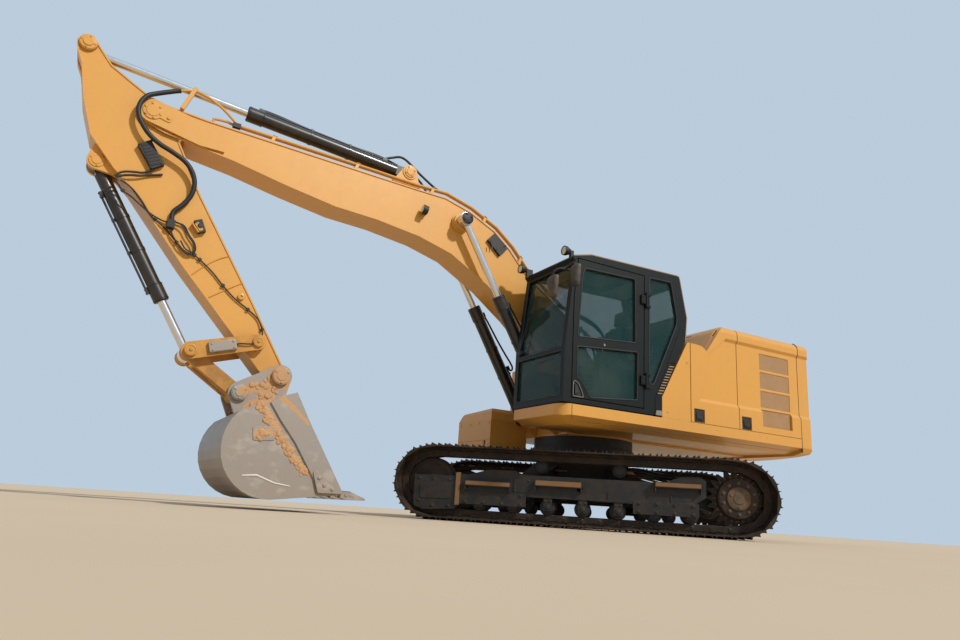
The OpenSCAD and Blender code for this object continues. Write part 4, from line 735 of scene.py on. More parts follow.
seams = Piece("skirt_seams", mat_plastic)
seams.box(1.168, 1.172, HALF_W - .001, HALF_W + .0012, 1.09, 1.249)
seams.box(WEIGHT_X + .01, 1.1, HALF_W - .001, HALF_W + .0012, 1.0795, 1.0825)
SHOULDER_R = .09
seam_line = [(HALF_W, 1.085), (HALF_W, DECK_Z + .255), (HALF_W - .025, DECK_Z + .295),
             (HALF_W - .025, BAY_Z - .194), (HALF_W, BAY_Z - .16)]
seam_line += [(HALF_W - SHOULDER_R + SHOULDER_R * cos(q), BAY_Z - SHOULDER_R + SHOULDER_R * sin(q))
              for q in (radians(15 * k) for k in range(6))]
wires("counterweight_seal", mat_rubber, .01,
      [[(WEIGHT_X + .004, s * (y - .0075), z) for y, z in seam_line] for s in BOTH], smooth=False)

# Counterweight: caps, lamps, camera

TAIL_R = 2.92
caps = Piece("counterweight_caps", mat_yellow_bolt, .001)
for s in BOTH:
    caps.lathe((-2.635, s * .62, BAY_Z - .003), Z, [(.058, 0), (.058, .005), (.041, .007), (.041, .001)])
    caps.bolt((-2.72, s * .25, BAY_Z), Z, .022, .016)
for s, word in LEFT_RIGHT:
    y0 = s * .98
    x0 = -sqrt(TAIL_R ** 2 - y0 ** 2)
    Piece(f"rear_lamp_body_{word}", mat_plastic, .008).box(
        x0 - .004, x0 + .04, y0 - .075, y0 + .075, 1.3, 1.4)
    lens = Piece(f"rear_lamp_lens_{word}", mat_red, .005)
    for dy in (-.036, .036):
        lens.box(x0 - .012, x0 - .002, y0 + dy - .03, y0 + dy + .03, 1.312, 1.388)
eye = Piece("rear_camera", mat_plastic, .004)
eye.lathe((.012 - TAIL_R, 0, 2.36), -X, [(.034, -.01), (.034, .018), (.026, .024), (.016, .02),
                                         (0, .016)], 24)
eye.box(-TAIL_R - .006, .03 - TAIL_R, -.055, .055, 2.318, 2.402)

# Hood and roof

top = Piece("hood_louvres", mat_plastic, .001, HOOD)
for x in (-2.12, -1.98, -1.84):
    for y in (-.52 + k * .0495 for k in range(22)):
        top.box(x - .05, x + .05, y - .008, y + .008, BAY_Z + .035, BAY_Z + .0385)
pads = Piece("hood_treads", mat_plastic, on=HOOD)
for y0 in (-.66, .1):
    pads.box(-1.72, -1.24, y0, y0 + .56, BAY_Z + .035, BAY_Z + .038)
    for i in range(9):
        for j in range(10):
            pads.lathe((-1.68 + i * .05, y0 + .045 + j * .052, BAY_Z + .037), Z, [(.009, 0), (.007, .004),
                                                                                  (0, .004)], 8)
wires("hood_handle", mat_cab, .009, [[(x, y, BAY_Z + z) for x, y, z in (
    (-1.205, -.1, .034), (-1.2, -.1, .07), (-1.2, .1, .07), (-1.205, .1, .034))]], HOOD, smooth=False)
top = Piece("roof_treads", mat_plastic, .002)
top.box(-1.72, -1.22, .86, 1.24, BAY_Z - .002, BAY_Z + .004)
top.box(-1.12, -.98, .2, .9, BAY_Z - .075, BAY_Z - .06)
collars = Piece("exhaust_collars", mat_engine, .001)
collars.lathe((-1.5, -.9, BAY_Z), Z, [(.088, 0), (.088, .01), (.066, .014), (.0635, .02)])
collars.lathe((-1.5, -.9, BAY_Z + .235), Z, [(.0635, 0), (.069, .008), (.069, .016), (.0635, .022)])

# Tanks and steps on the right

tanks = Piece("tank_caps", mat_plastic, .002, RIGHT)
tanks.lathe((.03, .8, 2.08), Z, [(.085, -.002), (.085, .012), (.07, .016), (.07, .05), (.062, .058),
                                 (0, .06)])
tanks.lathe((-.6, .85, 2.18), Z, [(.11, -.002), (.11, .014), (.075, .018), (.075, .04), (0, .046)])
tanks.bolt_circle((-.6, .85, 2.194), Z, .095, 6, .009, .008)
tanks.box(-.5, -.45, HALF_W - .012, HALF_W - .002, 1.55, 1.75)
treads = Piece("step_treads", mat_plastic, .002, RIGHT)
for x in (.42, .56, .7, .84):
    treads.box(x, x + .1, .56, 1.22, 1.3745, 1.392)
treads.box(-.19, .26, .95, 1.33, 2.079, 2.084)
feet = Piece("rail_feet", mat_cab, .001, RIGHT)
for x, y in rectangle(-.17, .25, .56, 1.29):
    feet.lathe((x, y, 2.0795), Z, [(.036, 0), (.036, .008), (.02, .012), (.0175, .016)], 24)

# Cab

CAB_Y0, CAB_Y1 = .395, 1.37
CAB_IN = (CAB_Y0 + .06, CAB_Y1 - .06)
CAB_LOW = 1.262
BROW_X, CAB_TOP = 1.214, 2.929
BEND_Z = 1.822
HINGE_X = .193
HINGE_Z = (1.627, 2.558)


def nose_x(z):
    """The slanted front face of the cab at a height."""
    return 1.286 - .102 * (z - BEND_Z) / .992


def screen_x(z):
    """The face that the windscreens lie in, which is nearly upright below the bend."""
    return (nose_x(z) if z > BEND_Z else 1.29 - .004 * (z - CAB_LOW) / .56) - .004


DOOR_PANES = ([(.33, 2.035), (1.122, 1.975), (1.078, 2.69), (1.048, 2.755), (.345, 2.78)],
              [(.305, 1.395), (.945, 1.34), (1.06, 1.5), (1.115, 1.525), (1.125, 1.868), (.3, 1.935)])
QUARTER = [(.135, 2.845), (-.195, 2.855), (-.285, 2.44), (-.278, 2.35), (.07, 1.6), (.135, 1.6)]
for name, on, panes in (("door_gaskets", CAB_DOOR, DOOR_PANES), ("quarter_gasket", UPPER, [QUARTER])):
    beads(name, mat_rubber, .008, panes, CAB_Y1 - .002, on)
    beads(name + "_inner", mat_rubber, .007, panes, CAB_Y1 - .024, on)
wires("screen_gaskets", mat_rubber, .009,
      [[(screen_x(z), y, z) for y, z in rounded(rectangle(*CAB_IN, z0, z1), .02)]
       for z0, z1 in ((1.847, 2.789), (1.332, 1.807))], closed=True, smooth=False, sides=2)
wires("screen_bar", mat_plastic, .013, [[(1.225, 1.315, 1.8), (1.232, 1.253, 1.786), (1.236, .95, 1.757),
                                         (1.236, .65, 1.722), (1.23, .45, 1.702)]])

wiper = Piece("wiper", mat_plastic)
wiper.lathe((nose_x(1.9) + .002, .5, 1.9), Vector((1, 0, .1)), [(.03, -.01), (.03, .018), (.02, .03),
                                                                (0, .032)], 20)
wiper.rod((nose_x(1.9) + .026, .5, 1.9), (nose_x(2.42) + .022, .6, 2.42), .007, 8, .005)
wiper.rod((nose_x(2.1) + .008, .555, 2.1), (nose_x(2.7) + .008, .615, 2.7), .007, 6)

handle = Piece("door_handle", mat_plastic, .002, CAB_DOOR)
handle.slab(rounded([(1.154, 1.34), (1.154, 1.474), (1.137, 1.482), (1.107, 1.465), (1.064, 1.394),
                     (1.044, 1.34)], .012),
            CAB_Y1 - .0125, CAB_Y1 - .0085)
handle.slab(rounded([(1.146, 1.35), (1.146, 1.462), (1.122, 1.452), (1.096, 1.405), (1.086, 1.375),
                     (1.118, 1.362)], .01),
            CAB_Y1 - .01, CAB_Y1 + .01)
beads("door_handle_rim", mat_grey, .0045, [[(1.163, 1.332), (1.163, 1.483), (1.138, 1.494), (1.1, 1.473),
                                            (1.054, 1.396), (1.03, 1.332)]], CAB_Y1 + .001, CAB_DOOR, .014)
Piece("door_lock", mat_bolt, on=CAB_DOOR).lathe((.76, CAB_Y1 - .0125, 1.94), Y, [
    (.0135, 0), (.0135, .01), (.008, .011), (.006, .008), (0, .008)], 20)
wires("door_grab_bar", mat_plastic, .011, [[(1.085, 1.318, 1.42), (1.07, 1.285, 1.47), (1.04, 1.275, 1.8),
                                            (1.035, 1.275, 2.05), (1.04, 1.318, 2.1)]], CAB_DOOR)
Piece("cab_foot_cap", mat_grey, .003).slab(
    rounded([(-.046, 1.264), (.052, 1.264), (.04, 1.318), (-.04, 1.322)], .012), CAB_Y1 - .002, CAB_Y1 + .016)
hinges, door_hinges = Piece("hinge_bolts", mat_cab), Piece("door_hinge_bolts", mat_cab, on=CAB_DOOR)
for z in HINGE_Z:
    for s in BOTH:
        for dx in (-.055, -.03):
            hinges.bolt((HINGE_X + dx, CAB_Y1 + .0095, z + s * .068), Y, .007, .006)
        door_hinges.bolt((HINGE_X + .052, CAB_Y1 + .0235, z + s * .028), Y, .008, .006)

# Light tan beads along both roof edges: a painted highlight where the dark rims catch the light
roof_line = [(BROW_X - .008, CAB_TOP - .06), (BROW_X - .249, CAB_TOP), (-.294, CAB_TOP + .03),
             (-.323, CAB_TOP + .022), (-.335, CAB_TOP - .01), (-.44, 2.465), (-.415, 2.18)]
wires("roof_rim_highlights", mat_painted_highlight, .008, [[(x, y, z) for x, z in roof_line] for y in (CAB_Y1 - .004, CAB_Y0 + .004)],
      smooth=False)
# Slats on the rear pillar in light tan: painted highlights on the louvres
slats = Piece("louvre_highlights", mat_painted_highlight, .001)
for k in range(11):
    x, z = -.239 + .0173 * k, 1.845 - .033 * k
    slats.box(x + .008, x + .08, CAB_Y1 - .001, CAB_Y1 + .005, z - .006, z + .006, -4)
Piece("roof_skin", mat_roof, .001).slab(
    [(BROW_X - .249, CAB_TOP + .0005), (-.297, CAB_TOP + .0305), (-.297, CAB_TOP + .034),
     (BROW_X - .249, CAB_TOP + .004)],
    CAB_Y0 + .03, CAB_Y1 - .03)
hatch = Piece("hatch_frame", mat_cab, .004)
for x0, x1, y0, y1 in ((.135, .15, .54, 1.225), (.8, .815, .54, 1.225), (.15, .8, .54, .555),
                       (.15, .8, 1.21, 1.225)):
    hatch.box(x0, x1, y0, y1, CAB_TOP + .002, CAB_TOP + .028)
inside = Piece("headlining", mat_grey, .002)
inside.box(-.28, .14, *CAB_IN, 2.862, 2.868)
inside.box(.81, 1.02, *CAB_IN, 2.845, 2.852)
Piece("cab_floor_mat", mat_plastic, .002).box(-.02, 1.2, *CAB_IN, 1.3125, 1.318)

# Lamps on cab and boom

LENS = [(.044, -.002), (.044, .002), (.03, .005), (0, .006)]
lenses, shells = Piece("cab_lamp_lenses", mat_lens), Piece("cab_lamp_rims", mat_plastic)
for p in ((BROW_X - .019, CAB_Y1 - .205, CAB_TOP + .06), (BROW_X + .108, CAB_Y0 + .058, CAB_TOP + .008)):
    lenses.lathe(p, X, LENS, 28)
    shells.lathe(p, X, [(.054, -.012), (.054, .006), (.046, .006), (.045, 0)], 28)
way = Vector((sin(radians(100)), 0, cos(radians(100))))
Piece("boom_lamp_lens", mat_lens, on=BOOM).lathe(Vector((2.79, BOOM_HALF + .07, .72)) + way * .06, way, [
    (.046, -.002), (.046, .002), (.03, .005), (0, .006)], 28)

# Mirrors

MIRROR_Z = 2.7
heads, panes = Piece("mirror_heads", mat_grey_shell, replaces=("mirrors",)), Piece("mirror_glass", mat_mirror)
for x, y, z, w, h in ((1.42, 1.29, 2.49, .165, .25), (1.282, 1.502, 2.592, .145, .25)):
    rim = rounded([(-w / 2, h / 2), (w / 2, h / 2), (w * .36, -h / 2), (-w * .36, -h / 2)], .045, 6)
    for piece, rows in ((heads, ((-.024, .9), (-.03, .955), (-.03, 1), (-.012, 1), (.004, .955), (.017, .83),
                                 (.026, .6), (.03, .3))), (panes, ((-.0262, .9), (-.0242, .9)))):
        skin(piece.bm, [[(x + dx, y + py * k, z + pz * k) for py, pz in rim] for dx, k in rows])
    panes.slab(rectangle(x - .0262, x - .0245, z - .001, z + .001), y - .001, y + .001)
    heads.rod((x - .004, y, z + h / 2 - .02), (x - .004, y, z + h / 2), .02, 16)
arms = wires("mirror_arms", mat_plastic, .0115,
             [[(x, CAB_Y1 + y, MIRROR_Z + z) for x, y, z in path] for path in (
    [(nose_x(MIRROR_Z) - .002, -.03, 0), (1.31, -.03, 0), (1.4, -.06, -.03), (1.418, -.08, -.09)],
    [(1.288, -.03, 0), (1.286, .06, .024), (1.284, .12, .03), (1.282, .132, .012)])])
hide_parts("mirrors")
clamps = Piece("mirror_clamps", mat_plastic, .001)
clamps.lathe((nose_x(MIRROR_Z) + .001, CAB_Y1 - .03, MIRROR_Z), X, [(.03, -.004), (.03, .006), (.018, .014),
                                                                    (.012, .022)], 20)
for x, reach, r in ((1.288, .022, .017), (1.31, .018, .015)):
    clamps.rod((x, CAB_Y1 - .03, MIRROR_Z - reach), (x, CAB_Y1 - .03, MIRROR_Z + reach), r, 16)

# Seat and controls

SEAT_Y = (CAB_Y0 + CAB_Y1) / 2
SWELL_FRAMES, SWELL_MOST = 20, .012


def cushion(name, x0, x1, half, z0, z1, lean=0):
    """A stuffed cushion: a box a little smaller than its room, swollen as cloth."""
    bm = bmesh.new()
    bmesh.ops.create_cube(bm, size=1)
    size = Vector((x1 - x0, 2 * half, z1 - z0))
    for v in bm.verts:
        v.co = v.co * size * .97
    bmesh.ops.bevel(bm, geom=bm.edges[:], offset=min(size) * .22, segments=4, affect="EDGES")
    turn = Matrix.Rotation(radians(lean), 4, "Y")
    for v in bm.verts:
        v.co = upper(*(Vector(((x0 + x1) / 2, SEAT_Y, (z0 + z1) / 2)) + turn @ v.co))
    obj = object_of(name, bm, None)
    remesh = obj.modifiers.new("remesh", "REMESH")
    remesh.mode = "VOXEL"
    remesh.voxel_size = .016
    remesh.use_smooth_shade = True
    apply_modifiers(obj)
    swell(obj)
    smooth = obj.modifiers.new("smooth", "SUBSURF")
    smooth.levels = smooth.render_levels = 1
    for f in obj.data.polygons:
        f.use_smooth = True
    dress(obj, mat_seat, "upper")
    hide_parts("seat")


def apply_modifiers(obj):
    """Puts what the modifiers make of the mesh in its place."""
    made = bpy.data.meshes.new_from_object(obj.evaluated_get(bpy.context.evaluated_depsgraph_get()))
    obj.modifiers.clear()
    obj.data = made


def swell(obj):
    """Blows the cushion up as cloth, and holds each point to a short way from where it was."""
    rest = [v.co.copy() for v in obj.data.vertices]
    cloth = obj.modifiers.new("cloth", "CLOTH")
    cloth.settings.quality = 6
    cloth.settings.mass = .3
    cloth.settings.tension_stiffness = cloth.settings.compression_stiffness = 30
    cloth.settings.bending_stiffness = 2
    cloth.settings.use_pressure = True
    cloth.settings.uniform_pressure_force = 4
    cloth.settings.effector_weights.gravity = 0
    cloth.point_cache.frame_start, cloth.point_cache.frame_end = 1, SWELL_FRAMES
    for f in range(1, SWELL_FRAMES + 1):
        scene.frame_set(f)
    apply_modifiers(obj)
    scene.frame_set(1)
    for v, r in zip(obj.data.vertices, rest):
        move = v.co - r
        if move.length > SWELL_MOST:
            v.co = r + move.normalized() * SWELL_MOST


cushion("seat_cushion", .18, .67, .245, 1.602, 1.728)
cushion("seat_back", .13, .262, .232, 1.745, 2.335, -8)
cushion("seat_headrest", .085, .168, .125, 2.35, 2.535, -6)
base = Piece("seat_frame", mat_plastic, .004, replaces=("seat",))
base.box(.19, .59, SEAT_Y - .22, SEAT_Y + .22, 1.314, 1.36)
for k in range(6):
    base.box(.205 + .004 * k, .575 - .004 * k, SEAT_Y - .2, SEAT_Y + .2, 1.362 + .034 * k, 1.39 + .034 * k)
base.box(.175, .655, SEAT_Y - .235, SEAT_Y + .235, 1.566, 1.6)
base.slab([(.15, 1.62), (.185, 1.62), (.15, 2.35), (.098, 2.35)], SEAT_Y - .2, SEAT_Y + .2)
for s in BOTH:
    base.rod((.118, SEAT_Y + s * .06, 2.3), (.118, SEAT_Y + s * .06, 2.42), .008)
    base.rod((.185, SEAT_Y + s * .232, 1.64), (.185, SEAT_Y + s * .25, 1.64), .028, 16)
wires("seat_piping", mat_plastic, .004, [[(x, SEAT_Y - .246 + .492 * t, z) for t in (.04, .3, .7, .96)]
                                         for x, z in ((.2, 1.734), (.655, 1.722))])

controls = Piece("lever_boots", mat_plastic, .001)
for y in (SEAT_Y - .33, SEAT_Y + .33):
    controls.lathe((.7, y, 1.858), Z, [(.046, 0), (.046, .006), (.036, .016), (.04, .022), (.028, .034),
                                       (.031, .04), (.02, .052), (.016, .062)], 20)
    controls.lathe((.7, y, 1.93), Z, [(.016, 0), (.0235, .02), (.0205, .06), (.0245, .1), (.0235, .125),
                                      (0, .138)], 20)
    for dy in (-.008, .008):
        controls.rod((.715, y + dy, 2.04), (.726, y + dy, 2.052), .006, 8)
    for x in (.46, .51, .56, .61):
        controls.rod((x, y, 1.86), (x, y, 1.868), .013, 14)
Piece("display_face", mat_mirror, .001).box(.8065, .8095, SEAT_Y - .422, SEAT_Y - .273, 1.965, 2.14)
wires("seat_belt", mat_plastic, .008, [[(.34, SEAT_Y - .262, 1.6), (.36, SEAT_Y - .262, 1.7),
                                        (.33, SEAT_Y - .22, 1.745), (.31, SEAT_Y - .1, 1.747)]])

# Boom

BOOM_EYE = (2.3447, .8673)
CYLINDER_FOOT = (.718, 1.265)
STICK_FOOT = (3.141, 1.121)
STICK_EYE = (-.807, .265)
BUCKET_FOOT = (.3, .656)
LINK_TOP, LINK_LOW = (STICK_LEN - .397, .068), (STICK_LEN - .578, .673)
PIPE_Y = .153
PIPE_RUN = [(.7, .69), (1.3, .86), (1.59, 1.01), (1.89, 1.11), (2.28, 1.15), (2.64, 1.125), (3.04, .985),
            (3.54, .835), (4.98, .385)]


def pipe_height(x):
    """Height and slope of the pipes along the boom."""
    for (x0, z0), (x1, z1) in zip(PIPE_RUN, PIPE_RUN[1:]):
        if x <= x1:
            return z0 + (z1 - z0) * (x - x0) / (x1 - x0), degrees(atan2(z1 - z0, x1 - x0))


caps = Piece("boom_pin_caps", mat_arm, .001, BOOM)
straps = Piece("pipe_straps", mat_arm, .001, BOOM)
rod_caps = Piece("boom_rod_caps", mat_plastic, .001, ("boom_rods", on_boom))
for s in BOTH:
    caps.slab(rounded([(BOOM_LEN + x, z) for x, z in ((.05, -.045), (.05, .045), (-.19, .052),
                                                      (-.19, -.025))], .03),
              s * .2115, s * .2195)
    caps.bolt((BOOM_LEN - .155, s * .2195, .012), s * Y, .013, .01)
    caps.lathe((BOOM_LEN, s * .212, 0), s * Y, [(.092, 0), (.092, .008), (.06, .009), (.06, .0135),
                                                (0, .0135)], 36)
    caps.bolt_circle((BOOM_LEN, s * .22, 0), s * Y, .076, 6, .009, .008)
    x, z = STICK_FOOT
    caps.lathe((x, s * .115, z), s * Y, [(.07, 0), (.07, .008), (.044, .01), (.044, .0155), (0, .0155)])
    caps.bolt_circle((x, s * .123, z), s * Y, .057, 4, .008, .007, start=pi / 4)
    x, z = BOOM_EYE
    caps.lathe((x, s * .19, z), s * Y, [(.118, -.002), (.118, .006), (.106, .01)], 36)
    y = .383 if s > 0 else .354
    rod_caps.lathe((x, s * y, z), s * Y, [(.072, -.001), (.072, .007), (.066, .01), (0, .01)])
    rod_caps.bolt_circle((x, s * (y + .01), z), s * Y, .05, 4, .01, .008, start=pi / 4)
    for x in (.9, 1.42, 2.06, 2.8, 3.7, 4.6):
        z, deg = pipe_height(x + .018)
        straps.box(x - .004, x + .04, s * PIPE_Y - .036, s * PIPE_Y + .036, z + .014, z + .02, deg)
        straps.bolt((x + .018, s * PIPE_Y, z + .02), Z, .009, .008)
ribs = Piece("boom_box_ribs", mat_plastic, .001, BOOM)
ribs.box(4.95, 5.03, .155, .2, .345, .395, -18)
for x, z in ((1.74, .86), (1.8, .84), (1.86, .815), (1.9, .8)):
    ribs.box(x - .007, x + .007, .2165, .2185, z - .028, z + .028, -22)
for x, z in ((1.71, .935), (1.9, .858), (1.72, .915), (1.915, .87)):
    ribs.bolt((x, .2165, z), Y, .007, .006)

# Cylinders


def frame_of(a, b):
    """A place along the line between two pins, across it and up from it."""
    t = (b - a).normalized()
    n = Vector((-t.z, 0, t.x))

    def place(x, y, z):
        return a + t * x + Y * y + n * z
    return place


def dress_cylinder(name, body, place, y, length, r, hose=False):
    """Bolts, pipe, ports and clamps round a barrel that starts at the pin, with a loose hose if asked."""
    on = (body, place)
    ring = Piece(name + "_fittings", mat_cylinder, .0008, on)
    steel = Piece(name + "_pipe", mat_cylinder, on=on)
    ring.bolt_circle((length, y, 0), X, r - .004, 10, .008, .008, washer=False)
    ring.lathe((length, y, 0), X, [(.06, -.002), (.06, .006), (.0445, .008), (.0445, .001)], 28, hollow=True)
    for x in (length - .165, length - .02):
        ring.lathe((x, y, 0), X, [(r + .0075, 0), (r + .011, .003), (r + .011, .009), (r + .0075, .012)], 36,
                   hollow=True)
    z = r + .02
    for x in (.3, length - .13):
        ring.box(x - .03, x + .03, y - .022, y + .022, z - .02, z + .012)
        for d in (-.02, .02):
            ring.bolt((x + d, y, z + .012), Z, .006, .006, washer=False)
    for x in (length * .38, length * .62):
        ring.lathe((x, y, 0), X, [(r - .001, 0), (r + .005, .001), (r + .005, .034), (r - .001, .035)], 36,
                   hollow=True)
        if x < length / 2 or not hose:
            ring.box(x + .004, x + .031, y - .018, y + .018, z - .012, z + .012)
    if hose:
        ring.box(length * .42, length * .42 + .05, y - .02, y + .02, z - .022, z + .03)
        path = [(length - .13, 0), (length - .22, .012)]
        path += [(length * k, up) for k, up in ((.66, .038), (.52, .066), (.46, .08), (.415, .074),
                                                (.405, .045), (.43, .016))]
        wires(name + "_hose", mat_rubber, .0115, [[(x, y, z + up) for x, up in path]], on, sides=4)
    steel.rod((.3, y, z), (length * .44 if hose else length - .13, y, z), .011, 10)


stick_cyl = frame_of(on_boom(STICK_FOOT[0], 0, STICK_FOOT[1]), on_stick(STICK_EYE[0], 0, STICK_EYE[1]))
bucket_cyl = frame_of(on_stick(BUCKET_FOOT[0], 0, BUCKET_FOOT[1]), on_stick(LINK_LOW[0], 0, LINK_LOW[1]))
boom_cyl = frame_of(upper(CYLINDER_FOOT[0], 0, CYLINDER_FOOT[1]), on_boom(BOOM_EYE[0], 0, BOOM_EYE[1]))
dress_cylinder("stick_barrel", "stick_barrel", stick_cyl, 0, 1.89, .076)
dress_cylinder("bucket_barrel", "bucket_barrel", bucket_cyl, 0, 1.45, .066)
for s, word in LEFT_RIGHT:
    dress_cylinder(f"boom_barrel_{word}", "boom_barrels", boom_cyl, s * .305, 1.54, .072, hose=True)
pins = Piece("boom_cylinder_pins", mat_plastic, on=("boom_barrels", upper))
for s in BOTH:
    for y, way in ((.252, -s * Y), (.358, s * Y)):
        pins.lathe((CYLINDER_FOOT[0], s * y, CYLINDER_FOOT[1]), way, [(.06, -.004), (.06, .004),
                                                                      (0, .006)], 28)
bent_hoses("stick_cylinder_hoses", [smooth_line([stick_cyl(*p) for p in near] + [on_boom(*p) for p in far], 6)
                                    for near, far in (
    ([(.3, 0, .1), (.22, .004, .15), (.08, .02, .19)], [(3, .06, 1.2), (2.8, .1, 1.135), (2.7, .119, 1.118)]),
    ([(1.76, -.004, .104), (1.6, -.03, .125), (1.2, -.045, .118), (.7, -.045, .118), (.3, -.05, .13)],
     [(3.02, -.07, 1.215), (2.8, -.1, 1.135), (2.7, -.119, 1.118)]))],
           .014, on_boom(2.75, 0, 1.125), stick_cyl(.25, 0, .125))

# Stick

device = Piece("stick_device_covers", mat_plastic, .001, STICK)
device.box(.3, .53, .2125, .215, .155, .255, 3)
for x in (.315 + k * .034 for k in range(7)):
    device.box(x - .006, x + .006, .2145, .2175, .15, .25, 3)
for x, z in ((.292, .143), (.538, .156), (.292, .257), (.538, .262)):
    device.bolt((x, .2125, z), Y, .007, .006)
device.lathe((1.225, .2115, .075), Y, [(.026, 0), (.026, .006), (.018, .008), (0, .006)], 24)
sensor = Piece("stick_sensor_cover", mat_arm, .001, STICK)
sensor.box(1.185, 1.275, .2105, .215, .068, .108, -8)
for x in (1.192, 1.268):
    sensor.bolt((x, .215, .088), Y, .006, .005)
sensor.box(1.172, 1.28, STICK_HALF - .001, .213, .116, .128, -8)

coil = [(x, .012 + .003 * k, z) for k, (x, z) in enumerate((
    (1.093, .283), (1.117, .259), (1.163, .211), (1.268, .205), (1.381, .195), (1.45, .234), (1.454, .285),
    (1.393, .327), (1.281, .347), (1.192, .348), (1.139, .324), (1.117, .28)))]
coil += [(x, .044, z) for x, z in ((1.162, .235), (1.272, .222), (1.382, .212), (1.442, .245), (1.412, .29),
                                   (1.302, .308))]
for name, radius, paths in (
        ("stick_small_hoses", .0075, (
            coil, [(.56, .03, .62), (.586, .026, .6), (.669, .012, .58), (.757, .012, .53), (.88, .012, .48),
             (1.015, .012, .405), (1.085, .02, .335), (1.093, .03, .3)],
            [(.575, .03, .56), (.64, .015, .51), (.78, .012, .47), (1, .012, .44), (1.1, .012, .395),
             (1.2, .012, .364), (1.298, .012, .34), (1.414, .012, .3), (1.47, .012, .24)],
            [(1.47, .012, .24), (1.558, .01, .202), (1.68, .01, .158), (1.848, .01, .119), (2.004, .01, .073),
             (2.159, .01, 0), (2.292, .012, -.048), (2.397, .02, -.04)])),
        ("device_hoses", .0105, (
            [(.525, .045, .59), (.505, .034, .523), (.528, .022, .418), (.56, .02, .34), (.56, .026, .235)],
            [(.54, .048, .585), (.548, .04, .488), (.58, .028, .39), (.6, .014, .29), (.625, .01, .18)]))):
    wires(name, mat_rubber, radius, [[(x, STICK_HALF + y, z) for x, y, z in path] for path in paths], STICK)
clips = Piece("stick_hose_clips", mat_plastic, .002, STICK)
for x, z in ((.669, .58), (1.015, .42), (1.298, .34), (1.47, .238), (1.53, .212), (1.848, .119), (2.159, 0),
             (2.397, -.04)):
    clips.box(x - .014, x + .014, STICK_HALF - .001, STICK_HALF + .023, z - .016, z + .016, -25)
wires("stick_welds", mat_arm, .004, [[(x, STICK_HALF + .001, z) for x, z in path] for path in (
    ((1.64, .34), (1.603, .193), (1.585, .06), (1.59, -.07)), ((1.905, .29), (1.895, .1), (1.89, -.07)))],
      STICK, sides=2)

bosses = Piece("stick_bosses", mat_arm, .001, STICK)
caps = Piece("stick_pin_caps", mat_arm, .001, STICK)
bosses.lathe((2.015, STICK_HALF, .003), Y, [(.034, -.001), (.034, .014), (.024, .018), (.012, .018),
                                            (.012, .006), (0, .006)], 24)
for s in BOTH:
    x, z = STICK_EYE
    bosses.lathe((x, s * (STICK_HALF + .0002), z), s * Y, [(.084, 0), (.0795, .003), (.0795, .0245),
                                                           (.072, .0255)], 40)
    caps.lathe((x, s * .189, z), s * Y, [(.074, -.002), (.074, .005), (.045, .008), (.045, .016), (0, .016)])
    caps.bolt_circle((x, s * .194, z), s * Y, .06, 4, .008, .007, start=pi / 4)
    x, z = BUCKET_FOOT
    caps.lathe((x, s * .106, z), s * Y, [(.07, -.001), (.07, .007), (.043, .009), (.043, .014), (0, .014)])
    caps.bolt_circle((x, s * .113, z), s * Y, .056, 3, .008, .007, start=.4)

# Links

caps = Piece("link_pin_caps", mat_link, .001, LINKS)
for s in BOTH:
    for (x, z), y, r in ((LINK_TOP, .274, .05), (LINK_LOW, .282, .056)):
        caps.lathe((x, s * y, z), s * Y, [(r, -.002), (r, .004), (r * .7, .007), (r * .7, .003), (0, .003)])
        caps.bolt((x, s * (y + .003), z), s * Y, .012, .01)
        caps.rod((x + r * .72, s * y, z + r * .3), (x + r * .72, s * (y + .004), z + r * .3), .006, 10)
along = Vector(LINK_LOW) - Vector(LINK_TOP)
deg = degrees(atan2(along.y, along.x))
mid_x, mid_z = Vector(LINK_TOP) + along * .54
cover = Piece("idler_link_cover", mat_bucket, .003, LINKS)
for half, y0, y1 in ((.05, .2515, .287), (.044, .287, .29)):
    cover.box(mid_x - .128, mid_x + .128, y0, y1, mid_z - half, mid_z + half, deg)
for dx, dz in (turned(x, z, deg) for x in (-.1, .1) for z in (-.03, .03)):
    cover.bolt((mid_x + dx, .29, mid_z + dz), Y, .007, .006)
dx, dz = turned(-.128, 0, deg)
idler_hose = [on_stick(x, STICK_HALF + y, z) for x, y, z in (
    (2.397, .02, -.04), (2.45, .04, -.01), (2.49, .075, .06), (2.5, .11, .13), (mid_x + dx + .012, .112,
                                                                                mid_z + dz - .04),
    (mid_x + dx, .104, mid_z + dz + .004))]
bent_hoses("idler_link_hose", [smooth_line(idler_hose, 6)], .0075, idler_hose[0],
           idler_hose[3])

# Bucket

LIP = (-.6, -1.115)
BUCKET_HALF = .675


def by_lip(*pairs):
    return [(LIP[0] + x, LIP[1] + z) for x, z in pairs]


caps = Piece("bucket_pin_caps", mat_bucket, .001, BUCKET)
teeth = Piece("tooth_adapters", mat_bucket, .003, BUCKET)
plates = Piece("bucket_side_plates", mat_bucket, .003, BUCKET)
lines = Piece("bucket_wear_lines", mat_worn, .001, BUCKET)
ribs = Piece("bucket_ribs", mat_bucket, .004, BUCKET)
for y in (-BUCKET_HALF + .07 + k * (2 * BUCKET_HALF - .14) / 4 for k in range(5)):
    teeth.slab(by_lip((-.004, .044), (-.085, .043), (-.105, .036), (-.004, .036)), y - .05, y + .05)
    teeth.slab(by_lip((.004, .022), (.15, .022), (.12, .042), (-.004, .052)), y - .043, y + .043)
    for s in BOTH:
        teeth.rod((LIP[0] - .06, y + s * .044, LIP[1] + .004), (LIP[0] - .06, y + s * .053, LIP[1] + .004),
                  .015, 14)
        teeth.slab(by_lip((-.15, -.01), (-.1, .02), (-.085, -.01)), y + s * .044, y + s * .049)
